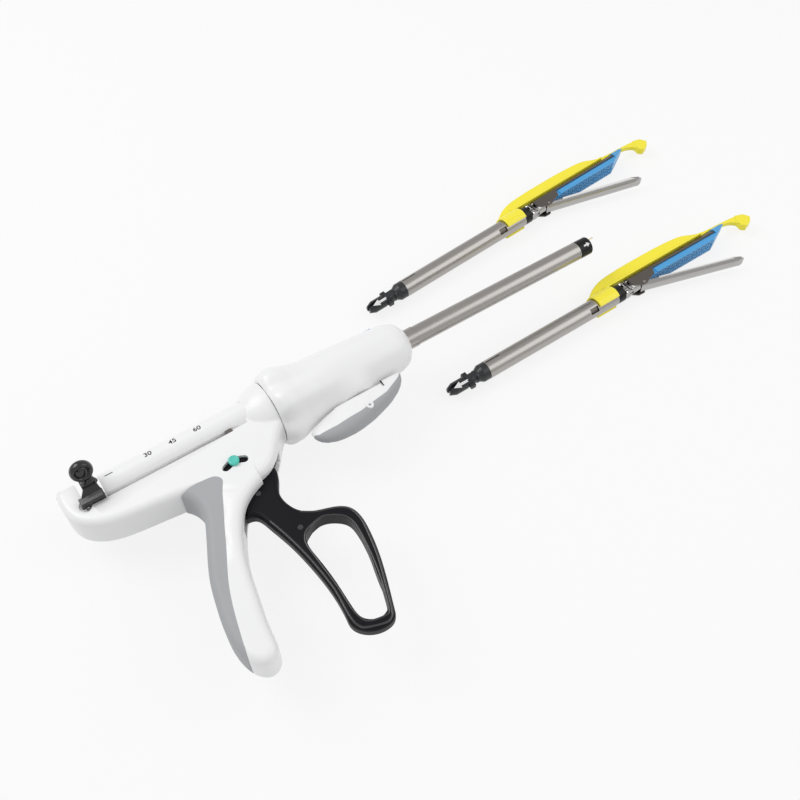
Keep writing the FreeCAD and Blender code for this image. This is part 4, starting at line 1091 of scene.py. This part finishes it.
@dataclass
class ReturnKnob(SubAssembly):
    """One black return knob: a saddle over the rail and a curled ring on a tapering neck."""

    side: int = 1
    x: float = -210.5 * MM
    half: float = 6.75 * MM
    rail_y: float = Handle.rail_y
    rail_z: float = Handle.rail_z
    rail_r: float = Handle.rail_r
    slot_y: float = Handle.slot_y
    saddle_gap: float = 0.4 * MM
    saddle_wall: float = 2.2 * MM
    saddle_start: float = -64.0
    saddle_sweep: float = 108.0
    taper_rear: float = 4.4 * MM
    taper_front: float = 1.0 * MM
    foot_levels: tuple[float, float] = (13.15 * MM, 15.6 * MM)
    lean: float = 13.0
    reach: float = 19.0
    ring_r: float = 4.9 * MM
    ring_tube: float = 1.5 * MM
    ring_depth: float = 1.7
    web_half: float = 0.6 * MM
    curl_r: float = 0.85
    curl_depth: float = 1.3
    grain: float = 0.28 * MM

    def __post_init__(self) -> None:
        """Works out the ring's directions and its middle."""
        lean = math.radians(self.lean)
        self.up = Vector((0, math.sin(lean), math.cos(lean)))
        self.across = Vector((1, 0, 0))
        self.face = Vector((0, -math.cos(lean), math.sin(lean)))
        self.root = Vector((self.x + 1.2 * MM, self.rail_y, self.rail_z))
        self.centre = self.root + self.up * self.reach * MM + self.across * 0.4 * MM

    def build(self) -> None:
        """Runs the knob's parts together as one moulding, mirrored for the far side."""
        parts = [self._saddle(), self._foot(), self._hoop(), self._web(), self._neck(), self._curl()]
        knob = moulded(parts, "knob", self.grain)
        if self.side < 0:
            knob.transform(Matrix.Scale(-1, 4, (0, 0, 1)))
            knob.flip_normals()
        label = "near" if self.side > 0 else "far"
        self.add("curled_knob_" + label, knob, self.palette.get(self.palette.KNOB), "rack", "knob_black",
                 ("return_knob_" + label,))

    def _saddle(self) -> bpy.types.Mesh:
        """The curved plate over the rail, narrower towards the ring."""
        inner = self.rail_r + self.saddle_gap
        outer = inner + self.saddle_wall
        steps = 24
        sections = []
        for i in range(steps + 1):
            angle = math.radians(self.saddle_start + i * self.saddle_sweep / steps)
            share = between(angle, [(math.radians(-44), 0.0), (math.radians(-8), 1.0)])
            left = self.x - self.half + self.taper_rear * share
            right = self.x + self.half - self.taper_front * share
            spokes = [(left, inner), (right, inner), (right, outer), (left, outer)]
            sections.append([Vector((px, self.rail_y + r * math.sin(angle), self.rail_z + r * math.cos(angle)))
                             for px, r in spokes])
        return loft(sections, "saddle")

    def _foot(self) -> bpy.types.Mesh:
        """The straight foot that slides along the slot."""
        low, high = self.foot_levels
        return block((self.x - self.half, self.slot_y - 1.5 * MM, low), (self.x + self.half, -2.6 * MM, high),
                     "foot")

    def _hoop(self) -> bpy.types.Mesh:
        """The deep round ring."""
        steps, facets = 48, 14
        rings = []
        for i in range(steps + 1):
            turn = TURN * i / steps
            way = self.across * math.cos(turn) + self.up * math.sin(turn)
            rings.append([self.centre + way * (self.ring_r + self.ring_tube * math.cos(TURN * j / facets))
                          + self.face * self.ring_tube * self.ring_depth * math.sin(TURN * j / facets)
                          for j in range(facets)])
        return loft(rings, "hoop", False)

    def _web(self) -> bpy.types.Mesh:
        """The thin disc that closes the ring."""
        web = lathe([(0.0, -self.web_half), (self.ring_r, -self.web_half), (self.ring_r, self.web_half),
                     (0.0, self.web_half)], "web", 32)
        frame = Matrix((self.across, self.up, self.face)).transposed().to_4x4()
        web.transform(Matrix.Translation(self.centre) @ frame)
        return web

    def _neck(self) -> bpy.types.Mesh:
        """The neck between the saddle and the ring, which tapers upwards."""
        steps = 16
        throat = []
        for i in range(steps + 1):
            share = i / steps
            middle = self.root + self.up * (8.2 + share * 7.6) * MM + self.across * (1.2 - 0.8 * share) * MM
            wide = smoothed(share, [(0.0, 5.0), (0.5, 3.4), (1.0, 3.0)], 0.3) * MM
            deep = smoothed(share, [(0.0, 3.4), (0.5, 2.0), (1.0, 1.3)], 0.3) * MM
            throat.append([middle + self.across * wide * math.cos(TURN * j / steps)
                           + self.face * deep * math.sin(TURN * j / steps) for j in range(steps)])
        return loft(throat, "neck")

    def _curl(self) -> bpy.types.Mesh:
        """The raised ridge that curls in the ring and runs down the neck."""
        facets = 12
        curl = rounded_path([(-1.6, 1.4), (0.2, 2.7), (2.1, 1.4), (2.2, -0.9), (0.8, -3.4), (-0.8, -6.0),
                             (-2.2, -8.8), (-2.8, -11.6)], 6)
        coils = []
        for i, point in enumerate(curl):
            after = curl[min(i + 1, len(curl) - 1)] - curl[max(i - 1, 0)]
            way = self.across * after.x + self.up * after.y
            cross = self.face.cross(way).normalized()
            middle = self.centre + (self.across * point.x + self.up * point.y
                                    + self.face * self.curl_depth) * MM
            coils.append([middle + (cross * math.cos(TURN * j / facets)
                                    + self.face * self.curl_depth * math.sin(TURN * j / facets))
                          * self.curl_r * MM for j in range(facets)])
        return loft(coils, "ridge")


@dataclass
class Barrel(SubAssembly):
    """Rotation knob, shaft, articulation lever and unload slider."""

    lever_x: float = -52.4
    flutes: int = 6
    flute_depth: float = 3.4
    wall: float = 2.2
    skirt_reach: float = 17.0
    skirt_swell: float = 5.0
    skirt_level: float = 20.1
    bore: float = 6.6
    joint_x: float = -100.8
    neck_radii: tuple[float, float] = (11.2 * MM, 13.55 * MM)
    neck_ends: tuple[float, float] = (-8.2 * MM, 1.4 * MM)
    lever_start: float = -88.8
    lever_length: float = 65.8
    boss_y: float = -32.1
    # Where the thin black block sits that paints the shade in the slit between the lever and the body.
    slit_shade_x: tuple[float, float] = (-38.1 * MM, -37.5 * MM)
    slit_shade_y: tuple[float, float] = (-24.2 * MM, -20.2 * MM)
    curve: tuple[tuple[float, float], ...] = (
        (-101.2, 20.6), (-100.4, 22.4), (-98.5, 24.0), (-95.6, 25.0), (-92.6, 25.0), (-89.0, 24.0),
        (-84.0, 22.0), (-74.0, 19.7), (-60.0, 18.5), (-40.0, 17.4), (-24.0, 16.4), (-16.0, 15.4),
        (-11.5, 13.8), (-8.8, 11.6), (-7.2, 8.6))

    def build(self) -> None:
        """Dresses the solids and builds the smoother pieces over them."""
        palette = self.palette
        finishes = {
            "lever_crank": palette.WORKS, "articulation_slide": palette.WORKS, "unload_slider": palette.UNLOAD,
            "shaft_tube": palette.SHAFT, "tube_collar": palette.WORKS,
            "tip_cap": palette.CAP, "tip_contacts": palette.BRASS,
        }
        for node, finish in finishes.items():
            self.dress(node, palette.get(finish))
        self._knob()
        self._lever()
        self._details()

    def _radius(self, x: float, angle: float) -> float:
        """Radius of the rotation knob.

        Args:
            x: place along the shaft in millimetres.
            angle: angle round it from the top.

        Returns:
            The radius in millimetres.
        """
        base = smoothed(x, self.curve, 2.4)
        wave = (0.5 + 0.5 * math.cos(self.flutes * (angle - math.radians(30.0)))) ** 1.6
        reach = smoothed(x, [(-101.2, 0.55), (-97.0, 1.0), (-88.0, 0.85), (-70.0, 0.18), (-60.0, 0.0)], 6.0)
        grooved = base - self.flute_depth * wave * reach
        aside = math.sqrt((x - self.lever_x) ** 2 + (grooved * math.sin(angle)) ** 2)
        below = -math.cos(angle)
        if below <= 0.0 or aside > self.skirt_reach:
            return grooved
        swell = 0.5 + 0.5 * math.cos(math.pi * aside / self.skirt_reach)
        return min(grooved + self.skirt_swell * swell * below, max(grooved, self.skirt_level / below))

    def _knob(self) -> None:
        """Both halves of the fluted rotation knob, with the flared neck that carries the lever."""
        palette = self.palette
        material = palette.get(palette.WHITE)
        first, last = self.curve[0][0], self.curve[-1][0]
        rows, facets = 110, 72
        for side, label in ((1, "near"), (-1, "far")):
            sections = []
            for i in range(rows + 1):
                share = i / rows
                x = first + (last - first) * (1 - (1 - share) ** 1.35)
                outer, inner = [], []
                for j in range(facets + 1):
                    angle = math.pi * j / facets
                    r = self._radius(x, angle)
                    thin = max(r - self.wall, self.bore)
                    for ring, radius in ((outer, r), (inner, min(thin, r - 0.4))):
                        aside = side * (radius * math.sin(angle) + 0.02)
                        ring.append(Vector((x, radius * math.cos(angle), aside)) * MM)
                sections.append(outer + list(reversed(inner)))
            shell = loft(sections, "knob_shell_" + label)
            pieces = [shell]
            (inside, outside), (rear, front) = self.neck_radii, self.neck_ends
            neck = lathe([(inside, rear), (outside, rear), (outside, front), (inside, front), (inside, rear)],
                         "knob_neck", facets)
            along_x(neck, (self.joint_x * MM, 0, 0))
            if side > 0:
                pieces.append(neck)
            body = smooth_shaded(joined(pieces, "knob_half_" + label), 40.0)
            self.add("knob_half_" + label, body, material, "barrel", "white_plastic",
                     ("rotation_knob_" + label,))

    def _lever(self) -> None:
        """The hull-shaped lever: its white upper part, the soft grey underside, the small boss and a thin black
        block in the front slit as painted shade.
        """
        palette = self.palette
        top = [(-88.8, -26.4), (-86.0, -24.9), (-68.6, -20.4), (-37.0, -20.4), (-36.0, -18.9), (-23.0, -18.6)]
        band = [(-88.8, -29.4), (-86.4, -31.4), (-75.2, -32.8), (-58.3, -32.5), (-38.6, -29.0), (-27.0, -22.8),
                (-23.0, -19.2)]
        keel = [(-88.8, -29.8), (-88.3, -31.6), (-86.6, -34.2), (-83.5, -36.6), (-78.5, -38.5), (-73.5, -39.3),
                (-67.0, -39.5), (-61.0, -39.0), (-52.0, -37.3), (-43.8, -34.8), (-37.0, -32.3), (-30.9, -29.2),
                (-27.3, -26.4), (-24.6, -23.4), (-23.0, -19.4)]
        plan = [(-88.8, 1.2), (-87.6, 2.4), (-84.0, 3.8), (-78.0, 5.0), (-66.0, 6.3), (-52.4, 6.6),
                (-38.0, 5.7), (-28.0, 3.9), (-24.4, 2.5), (-23.0, 1.2)]
        white, grey = [], []
        stations = 72
        for i in range(stations + 1):
            x = self.lever_start + self.lever_length * (0.5 - 0.5 * math.cos(math.pi * i / stations))
            high, middle, low = smoothed(x, top, 0.8), smoothed(x, band, 1.5), smoothed(x, keel, 0.6)
            low = min(low, middle - 0.05)
            half = smoothed(x, plan, 1.2)
            upper = []
            for j in range(15):
                turn = math.pi * j / 14
                shoulder = math.copysign(abs(math.cos(turn)) ** 0.35, math.cos(turn))
                upper.append(Vector((x, middle + 0.02 + (high - middle) * math.sin(turn) ** 0.35,
                                     half * (0.86 + 0.14 * (1 - math.sin(turn))) * shoulder)) * MM)
            white.append(upper)
            grey.append([Vector((x, middle - (middle - low) * math.sin(math.pi * j / 24) ** 0.9,
                                 (half + 0.12) * math.cos(math.pi * j / 24))) * MM for j in range(25)])
        body = smooth_shaded(loft(white, "lever_body"), 50.0)
        self.add("lever_body", body, palette.get(palette.WHITE), "lever", "white_plastic",
                 ("articulation_lever",))
        keel_pad = smooth_shaded(loft(grey, "lever_keel"), 50.0)
        self.add("lever_keel", keel_pad, palette.get(palette.GREY), "lever", "grip_grey", ("lever_pad",))
        for side, label in ((1, "near"), (-1, "far")):
            base = 5.6
            profile = [(0.75, base), (2.3, base), (2.3, 7.0), (2.05, 7.3), (1.0, 7.3), (0.75, 6.9),
                       (0.75, base)]
            boss = lathe([(r * MM, z * MM) for r, z in profile], "lever_boss_" + label, 40)
            boss.transform(Matrix.Translation((self.lever_x * MM, self.boss_y * MM, 0))
                           @ Matrix.Rotation(0 if side > 0 else math.pi, 4, "X"))
            self.add("lever_boss_" + label, smooth_shaded(boss), palette.get(palette.WHITE), "lever",
                     "white_plastic")
            # A thin black block in the slit between the lever and the body: painted shade in the gap.
            levels = sorted((side * 5.0 * MM, side * 5.85 * MM))
            low, high = zip(self.slit_shade_x, self.slit_shade_y, levels)
            slit_shade_block = block(low, high, "lever_slit_shade")
            self.add("lever_slit_shade_" + label, slit_shade_block, palette.get(palette.TRIGGER), "lever", "trigger_black")

    def _details(self) -> None:
        """Ribs on the unload slider, its spring, the ring at the shaft's root and the arrow on the tip."""
        palette = self.palette
        blue = palette.get(palette.UNLOAD)
        places = [Vector((-26.2 * MM + i * 1.8 * MM, 17.7 * MM, 0)) for i in range(4)]
        grips = ribs(places, (1.1 * MM, 1.6 * MM, 5.6 * MM), "slider_ribs", blue)
        self.add("slider_ribs", grips, blue, "unload_slider", "unload_blue")
        steel = palette.get(palette.WORKS)
        spring = coil(1.3 * MM, 0.28 * MM, 3.5, 2.6 * MM, "slider_spring", steel)
        along_x(spring, (-34.6 * MM, 11.0 * MM, 0))
        self.add("slider_spring", spring, steel, "barrel", "spring_steel", ("unload_spring",))
        bore, rim = 6.02 * MM, 6.4 * MM
        step = lathe([(bore, 0.0), (rim, 0.0), (rim, 0.5 * MM), (bore, 0.6 * MM), (bore, 0.0)], "root_ring")
        along_x(step, (0.02 * MM, 0, 0))
        self.add("root_ring", smooth_shaded(step), palette.get(palette.SHAFT), "barrel", "shaft_steel")
        arrow = [(-2.2, -0.55), (0.2, -0.55), (0.2, -1.7), (2.4, 0.0), (0.2, 1.7), (0.2, 0.55), (-2.2, 0.55)]
        print_ = wrapped([(x * MM, y * MM) for x, y in arrow], 6.0 * MM, math.radians(28.0), "tip_arrow")
        print_.transform(Matrix.Translation((135.6 * MM, 0, 0)))
        self.add("tip_arrow", print_, palette.get(palette.PALE_INK), "barrel", "white_plastic")


def wrapped(outline: Sequence[tuple[float, float]], radius: float, angle: float, name: str) -> bpy.types.Mesh:
    """A flat print bent round a bar that lies along X.

    Args:
        outline: its corners along and across the bar in metres.
        radius: the bar's radius in metres.
        angle: the print's place round the bar, from +Z towards -Y.
        name: the mesh's name.

    Returns:
        The mesh.
    """
    mesh = plate(outline, 0.02 * MM, name)
    work = bmesh.new()
    work.from_mesh(mesh)
    bmesh.ops.triangulate(work, faces=work.faces)
    bmesh.ops.subdivide_edges(work, edges=work.edges, cuts=3, use_grid_fill=True)
    for vertex in work.verts:
        bend = angle - vertex.co.y / radius
        lift = radius + 0.03 * MM + vertex.co.z
        vertex.co = Vector((vertex.co.x, -lift * math.sin(bend), lift * math.cos(bend)))
    bmesh.ops.recalc_face_normals(work, faces=work.faces)
    work.to_mesh(mesh)
    work.free()
    return mesh


@dataclass
class Reload(SubAssembly):
    """One loose reload in its shipping wedge."""

    number: int = 1
    x: float = 0.0
    y: float = 0.0
    turn: float = 0.0
    lift: float = -24.0 * MM
    jaw_open: float = 16.3
    tube_r: float = 6.0 * MM
    saddle_x: float = 120.6
    neck_x: float = 137.3
    strip_low: float = 6.3
    fin_half: float = 1.8
    strip_half: float = 4.4
    strip_thick: float = 1.4
    saddle_radii: tuple[float, float] = (6.2, 7.7)
    saddle_half: float = 132.0
    tail_half: float = 2.7
    wedge_grain: float = 0.38 * MM
    sleeve_radii: tuple[float, float] = (4.5 * MM, 5.0 * MM)
    sleeve_ends: tuple[float, float] = (-8.4 * MM, -0.4 * MM)

    def place(self, mesh: bpy.types.Mesh) -> bpy.types.Mesh:
        """Moves a mesh from the reload's own axes to its place on the table."""
        mesh.transform(Matrix.Translation((self.x, self.y, self.lift)) @ Matrix.Rotation(self.turn, 4, "Z"))
        return mesh

    def build(self) -> None:
        """Dresses the solids and prints the marks."""
        palette = self.palette
        turn = math.degrees(self.turn)
        plain = {"coupling": palette.COUPLING, "neck": palette.CAP, "swivel_pins": palette.WORKS,
                 "cartridge": palette.BLUE, "jaw_pin": palette.WORKS}
        lined = {"tube": palette.SHAFT, "articulation_link": palette.WORKS, "drive_beam": palette.WORKS,
                 "swivel_block": palette.ANVIL, "channel": palette.CHANNEL, "knife_sled": palette.WORKS}
        for piece, finish in plain.items():
            self.dress(self._name(piece), palette.get(finish))
        for piece, finish in lined.items():
            self.dress(self._name(piece), palette.turned(finish, turn))
        self.dress(self._name("anvil"), palette.turned(palette.ANVIL, turn - self.jaw_open))
        self._wedge()
        self._sleeve()
        self._prints()

    def _name(self, piece: str) -> str:
        """The full name of one of this reload's pieces."""
        return "reload_%d_%s" % (self.number, piece)

    def _wedge(self) -> None:
        """The yellow shipping wedge, moulded in one with its saddle, fin and pull tail."""
        start = self.saddle_x
        inner, outer = self.saddle_radii
        steps = 32
        saddle = []
        for i in range(steps + 1):
            angle = math.radians(-self.saddle_half + i * 2 * self.saddle_half / steps)
            corners = ((start, inner), (self.neck_x, inner), (self.neck_x, outer), (start, outer))
            saddle.append([Vector((x, r * math.cos(angle), r * math.sin(angle))) * MM for x, r in corners])
        ridge = [(start - 1.5, 6.9), (start + 1.6, 8.0), (start + 5.4, 10.4), (start + 10.4, 12.9),
                 (start + 17.4, 15.0), (start + 27.4, 16.1), (start + 45.4, 16.6), (start + 65.4, 16.5),
                 (start + 83.4, 15.6), (start + 92.4, 14.1), (start + 98.4, 11.4), (start + 104.4, 9.2),
                 (start + 112.4, 8.2), (start + 124.4, 7.6), (start + 132.4, 7.0), (start + 139.4, 6.0),
                 (start + 144.4, 3.4)]
        under = [(start + 145.6, -0.4), (start + 142.4, -3.6), (start + 137.6, -5.0), (start + 135.0, -3.0),
                 (start + 134.6, 0.6), (start + 131.4, 3.6), (start + 126.4, 5.4), (start + 118.4, 6.4)]
        crest = rounded_path(ridge + under, 4)
        base = [Vector((start + 104.4, self.strip_low, 0)), Vector((self.neck_x, self.strip_low, 0)),
                Vector((self.neck_x, inner, 0)), Vector((start - 1.5, inner, 0))]
        outline = [p * MM for p in crest + base]
        fin = prism(outline, -self.fin_half * MM, self.fin_half * MM, "fin")
        strip = block(((self.neck_x - 2.0) * MM, self.strip_low * MM, -self.strip_half * MM),
                      ((start + 104.0) * MM, (self.strip_low + self.strip_thick) * MM, self.strip_half * MM),
                      "strip")
        swell = [Vector((start + x, y, 0)) * MM for x, y in
                 ((137.4, 6.4), (143.4, 4.2), (146.0, -0.4), (142.4, -4.0), (137.4, -5.4), (134.8, -3.0),
                  (135.4, 2.0))]
        grip = prism(swell, -self.tail_half * MM, self.tail_half * MM, "tail_grip")
        wedge = moulded([loft(saddle, "saddle"), fin, strip, grip], "wedge", self.wedge_grain, 3)
        palette = self.palette
        self.add(self._name("wedge_moulding"), self.place(wedge), palette.get(palette.YELLOW),
                 self._name("wedge"), "wedge_yellow", (self._name("shipping_wedge"),))

    def _sleeve(self) -> None:
        """The dull sleeve inside the tube that shows through its window."""
        (inner, outer), (near, far) = self.sleeve_radii, self.sleeve_ends
        sleeve = lathe([(inner, near), (outer, near), (outer, far), (inner, far), (inner, near)], "sleeve", 48)
        along_x(sleeve, (self.saddle_x * MM, 0, 0))
        palette = self.palette
        self.add(self._name("window_sleeve"), self.place(smooth_shaded(sleeve)), palette.get(palette.CHANNEL),
                 "reload_%d" % self.number, "jaw_steel")

    def _prints(self) -> None:
        """The white arrow on the coupling, and the black index line on the tube."""
        palette = self.palette
        arrow = [(0.0, 0.0), (5.2, -2.2), (5.2, -0.8), (11.0, -0.8), (11.0, 0.8), (5.2, 0.8), (5.2, 2.2)]
        mark = wrapped([((x + 2.6) * MM, y * MM) for x, y in arrow], 4.2 * MM, math.radians(24.0), "arrow")
        self.add(self._name("coupling_arrow"), self.place(mark), palette.get(palette.PALE_INK),
                 "reload_%d" % self.number, "white_plastic")
        line = [(30.0, -0.35), (41.0, -0.35), (41.0, 0.35), (30.0, 0.35)]
        index = wrapped([(x * MM, y * MM) for x, y in line], self.tube_r, math.radians(-20.0), "index")
        self.add(self._name("index_line"), self.place(index), palette.get(palette.INK),
                 "reload_%d" % self.number, "trigger_black")


@dataclass
class Studio:
    """Camera, lamps, floor and surrounding light."""

    target: Vector = field(default_factory=lambda: Vector((0.02, -0.03, 0.0)))
    eye: Vector = field(default_factory=lambda: Vector((-0.2120, -0.3014, 0.4579)))
    right: Vector = field(default_factory=lambda: Vector((0.8308, -0.5566, 0.0)))
    up: Vector = field(default_factory=lambda: Vector((0.4560, 0.6806, 0.5736)))
    forward: Vector = field(default_factory=lambda: Vector((0.3193, 0.4766, -0.8192)))
    lens: float = 42.75
    surround: float = 0.62
    key_power: float = 5.2
    fill_power: float = 3.0
    floor_half: float = 6.0
    floor_thick: float = 0.01
    floor_glow: float = 0.82

    def camera(self) -> None:
        """Sets the camera at the photograph's viewpoint."""
        data = bpy.data.cameras.new("camera")
        data.lens = self.lens
        data.sensor_width = 36.0
        data.clip_start = 0.01
        data.clip_end = 20.0
        seat = bpy.data.objects.new("camera", data)
        turn = Matrix((self.right, self.up, -self.forward)).transposed().to_4x4()
        seat.matrix_world = Matrix.Translation(self.eye) @ turn
        bpy.context.scene.collection.objects.link(seat)
        bpy.context.scene.camera = seat

    def lamp(self, name: str, place: Sequence[float], size: float, power: float) -> None:
        """Adds a soft square lamp that looks at the object.

        Args:
            name: the lamp's name.
            place: where it hangs in metres.
            size: its side in metres.
            power: its power in watts.
        """
        data = bpy.data.lights.new(name, "AREA")
        data.shape = "SQUARE"
        data.size = size
        data.energy = power
        seat = bpy.data.objects.new(name, data)
        seat.location = Vector(place)
        seat.rotation_euler = (self.target - seat.location).to_track_quat("-Z", "Y").to_euler()
        bpy.context.scene.collection.objects.link(seat)

    def floor(self, height: float) -> None:
        """Lays the pale floor.

        Args:
            height: the floor's level in metres.
        """
        half = self.floor_half
        mesh = plate([(-half, -half), (half, -half), (half, half), (-half, half)], self.floor_thick, "floor")
        mesh.transform(Matrix.Translation((0, 0, height - self.floor_thick)))
        shader = Shader("white_floor")
        path = shader.node("ShaderNodeLightPath")
        seen = shader.wire(path, "Is Camera Ray").at_least(path.outputs["Is Glossy Ray"])
        matt = shader.node("ShaderNodeBsdfDiffuse", None, {"Color": (0.8, 0.8, 0.8, 1)})
        glow = shader.node("ShaderNodeEmission", None, {"Color": (1, 1, 1, 1), "Strength": 1.0})
        mixed = shader.node("ShaderNodeMixShader", None,
                            {0: seen * self.floor_glow, 1: matt.outputs[0], 2: glow.outputs[0]})
        shader.node("ShaderNodeOutputMaterial", None, {"Surface": mixed.outputs[0]})
        mesh.materials.append(shader.material)
        floor = bpy.data.objects.new("floor", mesh)
        bpy.context.scene.collection.objects.link(floor)
        floor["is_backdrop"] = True

    def world(self) -> None:
        """Surrounds the scene with plain pale light."""
        world = bpy.data.worlds.new("pale")
        bpy.context.scene.world = world
        world.use_nodes = True
        tree = NodeTree(world.node_tree)
        path = tree.node("ShaderNodeLightPath")
        plain, shown = (tree.node("ShaderNodeBackground", None, {0: (1, 1, 1, 1), 1: strength})
                        for strength in (self.surround, 1.0))
        mixed = tree.node("ShaderNodeMixShader", None,
                          {0: path.outputs["Is Camera Ray"], 1: plain.outputs[0], 2: shown.outputs[0]})
        tree.node("ShaderNodeOutputWorld", None, {0: mixed.outputs[0]})

    def build(self, floor_height: float) -> None:
        """Sets everything that isn't part of the object.

        Args:
            floor_height: the level that the object stands on.
        """
        scene = bpy.context.scene
        scene.view_settings.view_transform = "Standard"
        self.camera()
        self.world()
        self.floor(floor_height)
        self.lamp("key", (-0.55, 0.55, 0.9), 0.7, self.key_power)
        self.lamp("fill", (0.75, -0.5, 0.8), 0.9, self.fill_power)


def main() -> None:
    """Loads the frame, dresses each sub-assembly and sets the studio."""
    logging.basicConfig(level=logging.INFO, format="%(message)s")
    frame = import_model()
    before = [[float(v) for v in corner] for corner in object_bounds()]
    palette = Palette()
    Handle(frame, palette).build()
    Barrel(frame, palette).build()
    Reload(frame, palette, 1, -0.8 * MM, 51.1 * MM, math.radians(4.8)).build()
    Reload(frame, palette, 2, 4.4 * MM, -32.9 * MM, math.radians(1.0)).build()
    Studio().build(before[0][2])


if __name__ == "__main__":
    main()
